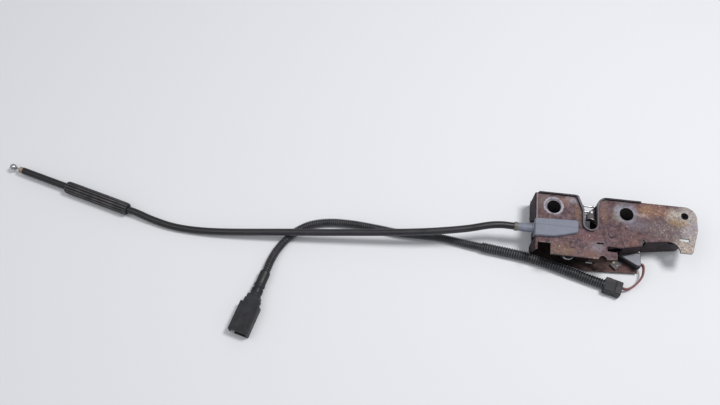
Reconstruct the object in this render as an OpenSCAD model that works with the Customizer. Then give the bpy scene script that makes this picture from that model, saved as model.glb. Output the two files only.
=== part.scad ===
// Bonnet latch: a folded sheet case with a sprung catch hook, a release lever,
// a pull cable with a ball end, and a contact switch on a two-wire lead.
// The origin is midway between the two mounting holes, on the front face.
// X runs along the holes, Y towards the slot mouth, Z out of the front face.

/* [Case sheets] */
// Thickness of the folded front sheet
sheet_t = 2; // [1.5:0.1:2.5]
// Thickness of the rear sheet
rear_t = 2; // [1.5:0.1:2.5]
// Clear depth between the two sheets
case_depth = 22; // [20:0.5:27]
// Centre distance of the two mounting holes
bolt_pitch = 62; // [52:0.5:75]
// Diameter of a mounting hole
bolt_d = 12; // [9:0.5:14.5]
// Outer face of the left side wall, left of the slot
wall_x = 47; // [44:0.5:57]
// Tip of the tongue, right of the slot
tongue_x = 91; // [85:0.5:110]
// Lower edge of the front sheet, below the holes
low_y = 44; // [43:0.5:53]
// Outer radius of the folds
fold_r = 2.6; // [2.4:0.1:3.2]
// Depth of the flange under the tongue
tongue_flange_h = 22.5; // [12:0.5:23]
// Depth of the middle flange
mid_flange_h = 14.5; // [8:0.5:14.5]
// Diameter of the small hole in the tongue
tongue_hole_d = 6.4; // [5:0.1:8]
// Depth of the drawn collar behind that hole
tongue_collar_h = 8; // [2:0.5:9]
// Height of the feet and rivet heads behind the rear sheet
foot_h = 2; // [1.6:0.1:2.4]

/* [Striker slot] */
// Width of the slot
slot_w = 11; // [9:0.5:13.5]
// Slot bottom, below the holes
slot_deep = 18.8; // [15.5:0.1:19.4]
// Top edge of the ears, above the holes
ear_top = 12.5; // [12.5:0.1:15]
// Radius of the slot mouth corners
mouth_r = 8.4; // [5.8:0.1:8.5]
// How far the slot's left flank slants outwards at its mouth
slot_flare = 5; // [3:0.1:5.5]
// Height of the raised rim
rim_h = 2.6; // [2:0.1:4]
// Thickness of the raised rim
rim_t = 1.4; // [1.2:0.1:2]
// How much wider the slot in the rear sheet is, on each side
rear_slot_extra = 1; // [0.6:0.1:1.6]

/* [Catch hook] */
// Pivot of the hook, right of the slot
hook_x = 18; // [17:0.5:19.5]
// Pivot of the hook, below the holes
hook_y = 21; // [20.5:0.5:22]
// Thickness of the hook
hook_t = 5; // [4:0.1:6]
// Gap between the front sheet and the hook
hook_gap = 1.5; // [1.2:0.1:1.8]
// Radius of the hook's boss
hook_boss_r = 10; // [9:0.1:10.5]
// Radius of the hook's pivot pin
hook_pin_r = 4; // [3.4:0.1:4.8]
// Wall of the hook's bush
hook_bush_wall = 2; // [1.6:0.1:2.4]
// Radius of the throat that holds the striker
throat_r = 6.6; // [5.5:0.1:6.8]

/* [Release lever] */
// Pivot of the lever, left of the slot
lever_x = 15.3; // [14:0.1:17]
// Pivot of the lever, below the holes
lever_y = 34.5; // [34:0.1:36]
// Thickness of the lever
lever_t = 3; // [2.4:0.1:3.4]
// Radius of the lever's pivot pin
lever_pin_r = 3; // [2.5:0.1:3.6]
// Wall of the lever's bush
lever_bush_wall = 1.4; // [1.1:0.1:1.7]
// Place along X where the lever lifts the hook's tail
push_x = 4; // [3:0.1:5]
// Radius of the tail's rounded tip
tail_r = 2.5; // [2:0.1:2.8]

/* [Pull cable] */
// Cable axis below the holes
cable_y = 20.5; // [20:0.1:21]
// Cable axis behind the front face
cable_z = 4; // [3.6:0.1:4.2]
// Diameter of the sheath
sheath_d = 6.2; // [4.6:0.1:6.6]
// Diameter of the inner wire
wire_d = 1.6; // [1.3:0.1:2]
// Diameter of the barrel nipple
nipple_d = 5; // [4.2:0.1:5.4]
// Diameter of the ball end
ball_d = 6.2; // [4.5:0.1:6.5]
// Length of the housing's nose
nose_l = 14; // [13:0.5:17]
// Diameter of the ribbed sleeve
sleeve_d = 11.4; // [9.4:0.1:11.5]

/* [Springs] */
// Wire of the hook's spring
hook_wire_d = 1.8; // [1.5:0.1:2]
// Mean coil radius of the hook's spring
hook_coil_r = 4.05; // [3.8:0.05:4.3]
// Wire of the lever's spring
lever_wire_d = 1.5; // [1.2:0.1:1.8]

/* [Contact switch and lead] */
// Thickness of the switch body
switch_t = 9; // [7.5:0.5:10]
// Diameter of a lead wire
lead_d = 1.6; // [1.3:0.1:1.9]
// Diameter of the wide conduit
wide_d = 9; // [7.5:0.1:9]
// Diameter of the narrow conduit
narrow_d = 7.2; // [6:0.1:7.2]
// Width of the plug connector
plug_w = 17.6; // [15:0.1:21]
// Height of the plug connector
plug_h = 11; // [9.5:0.1:11]

/* [Fits] */
// Radial running clearance of a pin in its bush
run_fit = 0.05; // [0.03:0.01:0.08]
// Gap between pieces that slide or swing past each other
swing_gap = 0.4; // [0.35:0.05:0.5]
// Gap round pieces that seat in one another
seat_gap = 0.02; // [0.01:0.01:0.05]

/* [Hidden] */
$fn = 64;
eps = 0.01;

// Colours of the finishes
rust = [0.42, 0.32, 0.31];
dark_rust = [0.28, 0.22, 0.21];
steel = [0.62, 0.62, 0.62];
dark_steel = [0.25, 0.24, 0.25];
grey_plastic = [0.42, 0.45, 0.5];
pale_plastic = [0.55, 0.57, 0.62];
black_plastic = [0.09, 0.09, 0.1];
rubber = [0.07, 0.07, 0.07];
brass = [0.6, 0.48, 0.3];
wire_red = [0.36, 0.14, 0.12];

// Levels of the sheets
z_in = -sheet_t;
z_rear = z_in - case_depth;
z_back = z_rear - rear_t;
z_floor = z_back - foot_h;

// Flat of the front sheet
flat_x = -wall_x + fold_r;
tongue_r = 10.5;
tongue_slope = 8.7;
tongue_a = [46.6, -25];
tongue_b = [66.3, -25 + (66.3 - 46.6) * tan(tongue_slope)];
mid_a = [28, -32];
mid_slope = 12;
mid_b = [43.8, -32 + (43.8 - 28) * tan(mid_slope)];
lobe_r = 9;
lobe_y = -30.5;
flag_l = 13.5;
tongue_hole_p = [tongue_x - tongue_r - 0.2, 3.4];
finger_x = 22.3;
finger_gap_x = 14;
finger_top = -36.5;
window_x = -33.5;
window_y = -34;
rim_end = 43.2;
slot_c = -slot_deep + slot_w / 2;
flare_deep = 13;
notch_p = [10.3, -low_y];
notch_r = 3.4;

// Rear sheet
rear_right = 46;
rear_ear_top = 17.5;
rear_mouth_top = 11;
tab_y = ear_top - 0.2;
tab_x = [13, 19];
tab_h = 12;
foot_r = 5;
foot_places = [[-37, -2], [38, 3], [39, -36.5]];

// Hook and lever levels
hook_p = [hook_x, -hook_y];
hook_front = z_in - hook_gap;
hook_rear = hook_front - hook_t;
lever_p = [-lever_x, -lever_y];
lever_rear = hook_rear;
lever_front = lever_rear + lever_t;
hook_bush_r = hook_pin_r + run_fit + hook_bush_wall;
lever_bush_r = lever_pin_r + run_fit + lever_bush_wall;
tail_p = [push_x, -29.5];
lift_y = tail_p[1] - tail_r - swing_gap;
pin_r = 1.5;
axial_gap = 0.4;

// Hook spring on its post
post_r = hook_coil_r - hook_wire_d / 2 - 0.35;
post_p = [-14, tab_y - hook_wire_d / 2 - 0.1 - hook_coil_r];
leg_low_z = hook_rear - 2;
leg_up_z = leg_low_z - 5;
leg_low_y = post_p[1] - hook_coil_r;
leg_up_y = post_p[1] + hook_coil_r;
spring_pin_p = [2.5, leg_low_y - hook_wire_d / 2 - 0.3 - pin_r];

// Lever spring round the lever's pivot
lever_coil_r = lever_bush_r + 0.35 + lever_wire_d / 2;
lever_leg_y = lever_p[1] - lever_coil_r;
lever_tab_x = [3, 8];
lever_tab_h = 5.5;
lever_leg_z = z_rear + 3.5;
lever_tip_z = lever_rear - 1.5;

// Cable run
nose_x = -wall_x - nose_l;
collar_l = 3;
plug_right = -28;
wire_y = -cable_y;
wire_z = -cable_z;
wire_bore_r = wire_d / 2 + 0.5;
head_r = nipple_d / 2 + 3;

// Contact switch
switch_top = -28.5;
switch_face = z_rear + switch_t;
leaf_hinge = [46, -27];
leaf_t = 0.6;
leaf_slope = 13;
leaf_z = [z_rear + 2.5, z_rear + 6.5];
cam_p = [hook_x + 8, -hook_y + 1];
cam_r = 2;
button_x = 40;
button_w = 3;
button_top = leaf_hinge[1] + (leaf_hinge[0] - button_x) * tan(leaf_slope) - leaf_t / cos(leaf_slope) - 0.5;
clip_p = [26.9, -38.9];
clip_side = 7;

// Cable route, from the nose to the ball end, in millimetres
cable_route = [
  [-64, -20.5, -4], [-75, -20.5, -4], [-86, -22.2, -4.3], [-102, -26.4, -5.4], [-122, -30.2, -6.8],
  [-146, -33.6, -8.6], [-176, -36.6, -11], [-206, -39.2, -13.2], [-234, -41.6, -15.2], [-256, -43.3, -16.6],
  [-280, -45.2, -18.6], [-304, -46.9, -21], [-326, -47.9, -23.2], [-346, -47.8, -24.5], [-364, -46.2, -24.5],
  [-382, -42.2, -23.6], [-394, -38.58, -22.5], [-404, -36, -22.2], [-424, -30.83, -22.2], [-444, -25.67, -22.2],
  [-464, -20.5, -22.2], [-486, -14.82, -22.2], [-508, -9.13, -22.2]];
sleeve_from = [-404, -36, -22.2];
sleeve_to = [-464, -20.5, -22.2];
cable_end = [-508, -9.13, -22.2];
end_angle = 180 - atan(15.5 / 60);
ferrule_l = 3.5;
ball_u = 10.7;
stub_in = 9;

// Wide conduit route, from its cap to where the narrow one leaves it
wide_route = [
  [17.5, -57.5, -23.5], [11.7, -55.95, -23.5], [5.9, -54.4, -23.5], [-7, -50.7, -23.5], [-20, -47, -23.5],
  [-35, -42.9, -23.5], [-50, -39.8, -23.5], [-66, -37.6, -23.5], [-78, -36.2, -23.5], [-88, -35, -23.5]];
cap_angle = -15;
cap_l = 14.5;
cap_w = 13;

// Narrow conduit route, from the wide one to the connector's clamp
narrow_route = [
  [-88, -35, -23.5], [-98, -33.8, -24], [-110, -31.9, -24.4], [-126, -30, -24.4], [-144, -29.8, -24.4],
  [-162, -29.6, -24.4], [-182, -27.6, -24.4], [-204, -26, -24.4], [-224, -26.8, -24.4], [-240, -31, -24.4],
  [-251.5, -38.5, -24.4], [-260, -48.5, -24.4], [-266, -59, -24.2], [-269.5, -69, -23.3],
  [-270.79, -75.65, -22.5], [-272, -80.5, -22.5]];
plug_from = [-272, -80.5, -22.5];
plug_angle = 256;
clamp_l = 11.5;
boot_l = 11.5;
plug_neck_l = 8;
plug_body_l = 26.3;
plug_wall = 1.6;
plug_depth = 20;

// Lead wires, from the switch to the conduit's cap
lead_route = [
  [47, -37.4, -18], [48.9, -37.5, -18], [50.1, -39.3, -18.4], [50.3, -42.5, -19.1], [49.6, -46.6, -20],
  [47.6, -50.6, -21], [44.6, -54.2, -21.8], [41, -57.2, -22.3], [37.8, -59.1, -22.5], [35.2, -59.66, -22.5],
  [33.7, -59.25, -22.5], [32.15, -58.84, -22.5]];
lead_step = [0, 0, -2];

// Point on a circle
function polar(c, r, a) = [c[0] + r * cos(a), c[1] + r * sin(a)];

// Points along an arc
function arc(c, r, a0, a1, n = 12) = [for (i = [0:n]) polar(c, r, a0 + (a1 - a0) * i / n)];

// A place moved square to a slanted edge
function beside(p, a, d) = p + d * [-sin(a), cos(a)];

// Unit vector
function unit(v) = v / norm(v);

// Point of a smooth curve between p1 and p2
function between(p0, p1, p2, p3, t) =
  0.5 * (2 * p1 + (p2 - p0) * t + (2 * p0 - 5 * p1 + 4 * p2 - p3) * t * t
    + (3 * p1 - p0 - 3 * p2 + p3) * t * t * t);

// Smooth curve through the points of a route
function smooth(route, steps) = let (last = len(route) - 1) concat(
  [for (i = [0:last - 1])
    let (before = i == 0 ? 2 * route[0] - route[1] : route[i - 1])
    let (after = i == last - 1 ? 2 * route[last] - route[last - 1] : route[i + 2])
    for (k = [0:steps - 1]) between(before, route[i], route[i + 1], after, k / steps)],
  [route[last]]);

// Direction of a path at one of its points
function heading(path, i) = let (last = len(path) - 1) unit(path[min(i + 1, last)] - path[max(i - 1, 0)]);

// Ring of points square to a path
function ring(path, i, r, sides) =
  let (t = heading(path, i))
  let (side = unit(cross([0, 0, 1], t)))
  let (up = cross(t, side))
  [for (k = [0:sides - 1]) path[i] + r * (cos(360 * k / sides) * up + sin(360 * k / sides) * side)];

// Round tube along a path
module tube(path, r, sides) {
  rings = len(path);
  points = [for (i = [0:rings - 1]) each ring(path, i, r, sides)];
  walls = [for (i = [0:rings - 2]) for (k = [0:sides - 1])
    [i * sides + k, (i + 1) * sides + k, (i + 1) * sides + (k + 1) % sides, i * sides + (k + 1) % sides]];
  first = [[for (k = [0:sides - 1]) k]];
  last = [[for (k = [sides - 1:-1:0]) (rings - 1) * sides + k]];
  polyhedron(points, concat(first, walls, last), convexity = 10);
}

// Cylinder between two levels
module column(p, r, z0, z1) {
  translate([p[0], p[1], z0]) cylinder(h = z1 - z0, r = r);
}

// Flat piece between two levels
module slab(z0, z1) {
  translate([0, 0, z0]) linear_extrude(z1 - z0) children();
}

// Waste outside a rounded corner whose sides run along +X and +Y from it
module corner_waste(r) {
  difference() {
    translate([-1, -1]) square(r + 1);
    translate([r, r]) circle(r);
  }
}

// Section of a fold: the flat runs on along +X and the wall hangs from it
module fold_section(depth) {
  intersection() {
    translate([fold_r, -fold_r]) difference() {
      circle(fold_r);
      circle(fold_r - sheet_t);
    }
    translate([0, -fold_r]) square(fold_r);
  }
  translate([0, -depth]) square([sheet_t, depth - fold_r]);
}

// Folded wall along +Y, with its outer face at X = 0
module fold(length, depth) {
  translate([0, length, 0]) rotate([90, 0, 0]) linear_extrude(length) fold_section(depth);
}

// Folded wall under a slanted edge that ends at p on the right
module edge_fold(p, slope, length, depth) {
  translate([p[0], p[1], 0]) rotate([0, 0, 90 + slope]) fold(length, depth);
}

// Striker slot with its flared mouth, whose left flank may slant
module slot_outline(half, bottom, top, corner, flare = 0) {
  translate([0, bottom + half]) circle(half);
  if (flare > 0) polygon([[-half, top - flare_deep], [1 - half, top - flare_deep], [1 - half, top + 1],
    [-half - flare * (1 + 1 / flare_deep), top + 1]]);
  translate([-half, bottom + half]) square([2 * half, top - bottom - half + 1]);
  for (side = [0, 1]) mirror([side, 0]) translate([half, top]) rotate(-90) corner_waste(corner);
}

// Ears of the front sheet, drawn in from their top and slot edges
module ears(inset) {
  low = -slot_deep - 6;
  difference() {
    translate([flat_x, low]) square([rim_end - flat_x, ear_top - inset - low]);
    slot_outline(slot_w / 2 + inset, -slot_deep - inset, ear_top - inset, mouth_r - inset, slot_flare);
  }
}

// Outline of the flat of the front sheet
module front_outline() {
  tongue_fold_b = beside(tongue_b, tongue_slope, fold_r);
  tongue_fold_a = beside(tongue_a, tongue_slope, fold_r);
  mid_fold_b = beside(mid_b, mid_slope, fold_r);
  mid_fold_a = beside(mid_a, mid_slope, fold_r);
  polygon(concat(
    [[flat_x, ear_top]],
    arc([tongue_x - tongue_r, ear_top - tongue_r], tongue_r, 90, 0),
    [[tongue_x, -9]],
    arc([tongue_x - 7, lobe_y + 2], 2, -15, -90, 4),
    arc([tongue_b[0], lobe_y], lobe_r, 0, 90),
    [tongue_b + [0, 0.4], tongue_fold_b, tongue_fold_a, [mid_b[0], tongue_fold_a[1]]],
    [mid_fold_b, mid_fold_a, mid_a, [finger_gap_x, mid_a[1]], [finger_gap_x, finger_top]],
    [[finger_x, finger_top], [finger_x, finger_top - 6.6]],
    [[notch_p[0] + notch_r, -low_y], [window_x, -low_y], [window_x, window_y], [flat_x, window_y]]));
}

// End of the tongue's flange that runs on behind the lobe
module flange_flag() {
  top = -fold_r - 2;
  translate([tongue_b[0], tongue_b[1], 0]) rotate([0, 0, tongue_slope]) rotate([90, 0, 0])
    translate([0, 0, -sheet_t]) linear_extrude(sheet_t)
      polygon([[-1, top], [flag_l - 3, top], [flag_l, top - 3], [flag_l, 2 - tongue_flange_h],
        [flag_l - 2, -tongue_flange_h], [-1, -tongue_flange_h]]);
}

// Raised discs and steps pressed into the front sheet
module embosses() {
  slab(-eps, 0.8) {
    translate(hook_p) circle(7.2);
    polygon([[finger_gap_x, mid_a[1]], [mid_a[0], mid_a[1]], beside(mid_a, mid_slope, fold_r), hook_p + [7, -1.5],
      hook_p + [-7, -1.5]]);
  }
  slab(-eps, 0.5) intersection() {
    front_outline();
    translate([-24, -42]) circle(18.4);
    translate([window_x, -low_y]) square([40, low_y - 30]);
  }
  column(tongue_hole_p, tongue_hole_d / 2 + 1.6, -eps, 0.5);
}

// Side walls left of the slot, either side of the cable housing
module side_walls() {
  depth = -z_back;
  difference() {
    translate([-wall_x, -13, 0]) fold(ear_top + 13, depth);
    translate([-wall_x - 1, 0, 0]) rotate([90, 0, 90]) linear_extrude(sheet_t + fold_r)
      polygon([[-14, 1], [-13, -fold_r], [-5, -depth - 1], [-14, -depth - 1]]);
  }
  difference() {
    translate([-wall_x, -43, 0]) fold(14, depth);
    translate([-wall_x - 1, 0, 0]) rotate([90, 0, 90]) linear_extrude(sheet_t + fold_r + 2)
      polygon([[-44, 1], [-41, 1], [-35, -depth - 1], [-44, -depth - 1]]);
  }
}

module front_plate() {
  color(rust) difference() {
    union() {
      slab(z_in, 0) difference() {
        front_outline();
        slot_outline(slot_w / 2, -slot_deep, ear_top, mouth_r, slot_flare);
        translate(notch_p) circle(notch_r);
      }
      slab(z_in, rim_h) difference() {
        ears(0);
        ears(rim_t);
      }
      side_walls();
      edge_fold(tongue_b, tongue_slope, norm(tongue_b - tongue_a), tongue_flange_h);
      flange_flag();
      column(tongue_hole_p, tongue_hole_d / 2 + 1.3, z_in - tongue_collar_h, z_in + eps);
      edge_fold(mid_b, mid_slope, norm(mid_b - mid_a), mid_flange_h);
      embosses();
    }
    for (side = [-1, 1]) column([side * bolt_pitch / 2, 0], bolt_d / 2, z_in - 1, rim_h + 1);
    column(tongue_hole_p, tongue_hole_d / 2, z_in - tongue_collar_h - 1, rim_h);
    slab(z_in - 1, 1) translate([74.7, -19.8]) square([8.5, 2.5]);
    slab(z_in - 1, 1) translate([5, -30.6]) square([6, 1.5]);
    slab(z_in - 1, 1) housing_window(0.3);
    column(hook_p, rivet_end(hook_pin_r), z_in - 1, 2);
    column(lever_p, rivet_end(lever_pin_r), z_in - 1, 2);
  }
}

// Radius of the thin end of a rivet, which passes through a sheet
function rivet_end(pin_radius) = 0.6 * pin_radius;

// Opening of the front sheet that the cable housing plugs into
module housing_window(gap) {
  translate([-wall_x - 1, wire_y - 6.5 - gap]) square([plug_right + wall_x + 1 + gap, 13 + 2 * gap]);
}

module rear_plate() {
  half = slot_w / 2 + rear_slot_extra;
  mouth_half = half + mouth_r - 2;
  color(dark_rust) difference() {
    union() {
      slab(z_back, z_rear) difference() {
        polygon([[-wall_x + sheet_t, rear_ear_top], [-mouth_half - 1.5, rear_ear_top], [-mouth_half, rear_mouth_top],
          [tab_x[1] + 3, rear_mouth_top], [tab_x[1] + 6, rear_ear_top], [rear_right - 3, rear_ear_top],
          [rear_right, rear_ear_top - 3.5], [rear_right, -43.6], [2, -46], [-30, -38.8],
          [-wall_x + sheet_t, -35]]);
        slot_outline(half, -slot_deep - rear_slot_extra, rear_mouth_top, mouth_r - 2);
      }
      slab(z_back, z_rear + tab_h) translate([tab_x[0], tab_y]) square([tab_x[1] - tab_x[0], rear_t]);
      slab(z_back, z_rear) translate([tab_x[0], rear_mouth_top - 1])
        square([tab_x[1] - tab_x[0], tab_y - rear_mouth_top + 1 + eps]);
      slab(z_back, z_rear + lever_tab_h) translate([lever_tab_x[0], lever_leg_y + lever_wire_d / 2 + 0.1])
        square([lever_tab_x[1] - lever_tab_x[0], rear_t]);
      for (p = foot_places) column(p, foot_r, z_floor, z_rear);
    }
    column(hook_p, rivet_end(hook_pin_r), z_floor - 1, z_rear + 1);
    column(lever_p, rivet_end(lever_pin_r), z_floor - 1, z_rear + 1);
    column(post_p, rivet_end(post_r), z_floor - 1, z_rear + 1);
    column(clip_p, 2, z_floor - 1, z_rear + 1);
  }
}

// Shouldered rivet between the two sheets
module rivet(p, pin_radius, face, head_radius, head_height) {
  thin = rivet_end(pin_radius) - seat_gap;
  column(p, pin_radius, z_rear, z_in);
  column(p, thin, z_floor + eps, face + head_height);
  column(p, pin_radius + 1, z_floor, z_back);
  translate([p[0], p[1], face]) cylinder(h = head_height, r1 = head_radius, r2 = head_radius - 0.7);
}

module hook_rivet() {
  color(steel) rivet(hook_p, hook_pin_r, 0.8, 3.3, 0.9);
}

module lever_rivet() {
  color(steel) rivet(lever_p, lever_pin_r, 0.5, 2.7, 0.7);
}

// Post that carries the coil of the hook's spring
module spring_post() {
  color(dark_steel) {
    column(post_p, post_r, z_rear, leg_low_z + 1.6);
    column(post_p, rivet_end(post_r) - seat_gap, z_floor + eps, z_rear + eps);
    column(post_p, post_r + 1, z_floor, z_back);
    column(post_p, post_r + 1.8, leg_low_z + 1.6 - eps, leg_low_z + 2.8);
  }
}

// Outline of the hook with its ramp, nose, throat and tail
module hook_outline() {
  difference() {
    union() {
      translate(hook_p) circle(hook_boss_r);
      polygon([[-1.6, -8], [3, -16], hook_p + [-9, -3], hook_p + [0, -5], hook_p + [6.6, 5.6], [16, 0.5],
        [12, 6.6], [9, 7.6], [6.4, 6.8], [-1.6, -1.2]]);
      polygon([[push_x, tail_p[1] - tail_r], hook_p + [-4, -8.4], hook_p + [-4, -1], [push_x, tail_p[1] + tail_r]]);
      translate(tail_p) circle(tail_r);
    }
    translate([1, slot_c + 0.3]) circle(throat_r);
    translate(hook_p) circle(hook_bush_r + seat_gap);
    translate(spring_pin_p) circle(pin_r * 0.7 + seat_gap);
  }
}

module catch_hook() {
  color(dark_steel) slab(hook_rear, hook_front) hook_outline();
}

// Moulded bush of the hook, with the cam that works the switch
module hook_bush() {
  color(black_plastic) difference() {
    union() {
      column(hook_p, hook_bush_r, z_rear + axial_gap, z_in - axial_gap);
      column(hook_p, hook_bush_r + 1.5, hook_rear - 4, hook_rear);
      slab(leaf_z[0], leaf_z[1]) {
        polygon([hook_p + [2, 4], cam_p + [0, cam_r], cam_p + [0, -cam_r], hook_p + [2, 0]]);
        translate(cam_p) circle(cam_r);
      }
    }
    column(hook_p, hook_pin_r + run_fit, z_rear, z_in);
  }
}

// Pin on the back of the hook, under the spring's lower leg
module hook_spring_pin() {
  color(steel) {
    column(spring_pin_p, pin_r * 0.7, hook_rear - eps, hook_front - 0.5);
    column(spring_pin_p, pin_r, hook_rear - 4, hook_rear);
  }
}

// Closing spring of the hook: a coil on its post and two long legs across the slot
module hook_spring() {
  turns = 2.5;
  steps = 40;
  coil = [for (i = [0:steps])
    let (a = 90 + 360 * turns * i / steps)
    [post_p[0] + hook_coil_r * cos(a), post_p[1] + hook_coil_r * sin(a),
      leg_up_z + (leg_low_z - leg_up_z) * i / steps]];
  path = concat(
    [[tab_x[1] - 1, leg_up_y, leg_up_z], [4, leg_up_y, leg_up_z], [-10, leg_up_y, leg_up_z]],
    coil,
    [[-10, leg_low_y, leg_low_z], [0, leg_low_y, leg_low_z],
      [spring_pin_p[0] + 12.5, leg_low_y, leg_low_z]]);
  color(steel) tube(path, hook_wire_d / 2, 8);
}

// Outline of the lever: a slotted head for the nipple and an arm under the hook's tail
module lever_outline() {
  head = [lever_p[0], wire_y];
  arm = lever_bush_r + 2.4;
  arm_left = lever_coil_r - lever_wire_d / 2 - 0.3;
  difference() {
    union() {
      translate(lever_p) circle(arm);
      translate(head) circle(head_r);
      translate([lever_p[0] - arm_left, lever_p[1]]) square([arm_left + 3.7, wire_y - lever_p[1]]);
      polygon([lever_p + [0, -arm + 1], [push_x, lift_y - 4], [push_x + 1, lift_y - 3], [push_x + 1, lift_y - 1.2],
        [push_x - 0.4, lift_y], [lever_p[0], lift_y]]);
    }
    translate(lever_p) circle(lever_bush_r + seat_gap);
    slot_half = nipple_d / 2 + swing_gap;
    for (dy = [-0.6, 1.4]) translate(head + [0, dy]) circle(slot_half);
    translate(head + [-slot_half, -0.6]) square([2 * slot_half, 2]);
  }
}

module release_lever() {
  color(dark_steel) slab(lever_rear, lever_front) lever_outline();
}

module lever_bush() {
  color(black_plastic) difference() {
    union() {
      column(lever_p, lever_bush_r, z_rear + axial_gap, z_in - axial_gap);
      column(lever_p, lever_bush_r + 1.2, lever_front, z_in - axial_gap);
    }
    column(lever_p, lever_pin_r + run_fit, z_rear, z_in);
  }
}

// Return spring of the lever, coiled round its bush
module lever_spring() {
  turns = 3.25;
  steps = 52;
  r = lever_coil_r;
  coil = [for (i = [0:steps])
    let (a = -90 - 360 * turns * i / steps)
    [lever_p[0] + r * cos(a), lever_p[1] + r * sin(a),
      lever_leg_z + (lever_tip_z - lever_leg_z) * i / steps]];
  tip_y = wire_y - head_r;
  path = concat(
    [[9, lever_leg_y, lever_leg_z], [-2, lever_leg_y, lever_leg_z], [-10, lever_leg_y, lever_leg_z]],
    coil,
    [[lever_p[0] - r, lever_p[1] + 3, lever_tip_z], [lever_p[0] - r, tip_y - 1, lever_tip_z],
      [lever_p[0] - r, tip_y - 0.2, lever_tip_z + 1], [lever_p[0] - r, tip_y + 0.6, lever_front - 0.6]]);
  color(steel) tube(path, lever_wire_d / 2, 8);
}

// Plastic end of the pull cable: a cover on the sheet, a plug in its window and a nose
module cable_housing() {
  color(grey_plastic) difference() {
    union() {
      hull() {
        for (p = [[-wall_x + 1.5, -15], [-wall_x + 1.5, -27.4], [-31, -26.8]]) cover_post(p, 2);
        for (p = [[-13, -14.4], [-13.2, -21.2]]) cover_post(p, 2.7);
      }
      translate([-wall_x, wire_y - 6.5, hook_rear - 0.5])
        cube([plug_right + wall_x, 13, -hook_rear + 0.5 + eps]);
      translate([plug_right - eps, wire_y - 4, z_in - 1.5]) cube([1.2, 8, 1.45]);
      along_cable(nose_x) cylinder(h = nose_l + eps, r1 = 3.5, r2 = 3.9);
      along_cable(-wall_x - 1.6) cylinder(h = 1.6 + eps, r = 4.8);
    }
    along_cable(nose_x - 1) cylinder(h = plug_right - nose_x + 4, r = wire_bore_r);
  }
}

// One rounded corner of the housing's cover
module cover_post(p, r) {
  translate([p[0], p[1], 0]) cylinder(h = 2.1, r = r, $fn = 32);
  translate([p[0], p[1], 2.1]) cylinder(h = 0.9, r1 = r, r2 = r - 0.9, $fn = 32);
}

// Frame on the cable's axis, with Z along +X of the latch
module along_cable(x) {
  translate([x, wire_y, wire_z]) rotate([0, 90, 0]) children();
}

module nose_collar() {
  color(brass) along_cable(nose_x - collar_l) difference() {
    cylinder(h = collar_l, r = 3.9);
    translate([0, 0, -1]) cylinder(h = collar_l + 2, r = wire_bore_r);
  }
}

module inner_wire() {
  color(steel) along_cable(nose_x + 6)
    cylinder(h = lever_p[0] - nipple_d / 2 - nose_x - 6 + 0.3, r = wire_d / 2);
}

module wire_nipple() {
  color(steel) difference() {
    column([lever_p[0], wire_y], nipple_d / 2, lever_rear - 0.4, wire_z + wire_d / 2 + 0.5);
    along_cable(lever_p[0] - nipple_d) cylinder(h = nipple_d / 2 + 0.3, r = wire_d / 2 + seat_gap);
  }
}

module cable_sheath() {
  color(rubber) difference() {
    tube(smooth(cable_route, 1), sheath_d / 2, 8);
    along_cable_end(-stub_in - 7) cylinder(h = stub_in + 8, r = wire_bore_r - 0.1);
  }
}

// Frame on the axis of the cable's free end, with Z outwards
module along_cable_end(u) {
  translate(cable_end) rotate([0, 0, end_angle]) rotate([0, 90, 0]) translate([0, 0, u]) children();
}

// Rubber sleeve with lengthwise ribs
module ribbed_sleeve() {
  length = norm(sleeve_to - sleeve_from);
  ribs = 14;
  rib_w = 1.5;
  color(rubber) translate(sleeve_from) rotate([0, 0, end_angle]) rotate([0, 90, 0]) difference() {
    union() {
      cylinder(h = length, r = sleeve_d / 2 - 0.9);
      for (i = [0:ribs - 1]) rotate(360 * i / ribs)
        translate([0, -rib_w / 2, 0.5]) cube([sleeve_d / 2 - 0.06, rib_w, length - 1]);
    }
    translate([0, 0, -1]) cylinder(h = length + 2, r = sheath_d / 2);
  }
}

module cable_ferrule() {
  color(brass) along_cable_end(0) difference() {
    union() {
      cylinder(h = ferrule_l, r = sheath_d / 2 - 0.3);
      cylinder(h = 0.8, r = sheath_d / 2);
    }
    translate([0, 0, -1]) cylinder(h = ferrule_l + 2, r = wire_bore_r);
  }
}

// Ball end with the length of wire that slides in the sheath
module ball_end() {
  color(steel) along_cable_end(0) {
    translate([0, 0, -stub_in]) cylinder(h = ball_u + stub_in, r = wire_d / 2);
    translate([0, 0, ball_u]) sphere(ball_d / 2);
    translate([0, 0, ball_u - ball_d / 2 - 0.6]) cylinder(h = 1.4, r = wire_d / 2 + 0.5);
  }
}

// Outline of the switch, drawn in by an inset
module switch_outline(inset) {
  polygon([[27 + inset, switch_top - inset], [47 - inset, switch_top - inset], [47 - inset, -40.5 + inset],
    [43.8 - inset / 2, -40.5 + inset], [27 + inset, -31.8 + inset]]);
}

module switch_body() {
  color(black_plastic) difference() {
    union() {
      slab(z_rear, switch_face - 1.2) switch_outline(0);
      slab(z_rear, switch_face - 1.2) translate([43.5, leaf_hinge[1] - 2]) square([3.5, 3]);
      slab(z_rear, z_rear + 1.5) {
        translate(clip_p) rotate(45) square(clip_side - 0.6, center = true);
        polygon([clip_p + [0, 2], [31, -33.5], [35, -35.6], clip_p + [3, -2]]);
      }
    }
    column(clip_p, 2, z_floor, z_rear + 3);
    slab(leaf_z[0] - 0.4, leaf_z[1] + 0.4) translate([leaf_hinge[0] - 4, leaf_hinge[1] - 0.9]) square([6, 3]);
    translate([button_x - button_w / 2 - 0.3, switch_top - 3, leaf_z[0] + 0.2])
      cube([button_w + 0.6, 4, leaf_z[1] - leaf_z[0] - 0.4]);
    column(leaf_hinge, 0.7 + run_fit, z_rear - 1, switch_face);
  }
}

module switch_cover() {
  color(pale_plastic) slab(switch_face - 1.2, switch_face) switch_outline(0.6);
}

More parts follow.
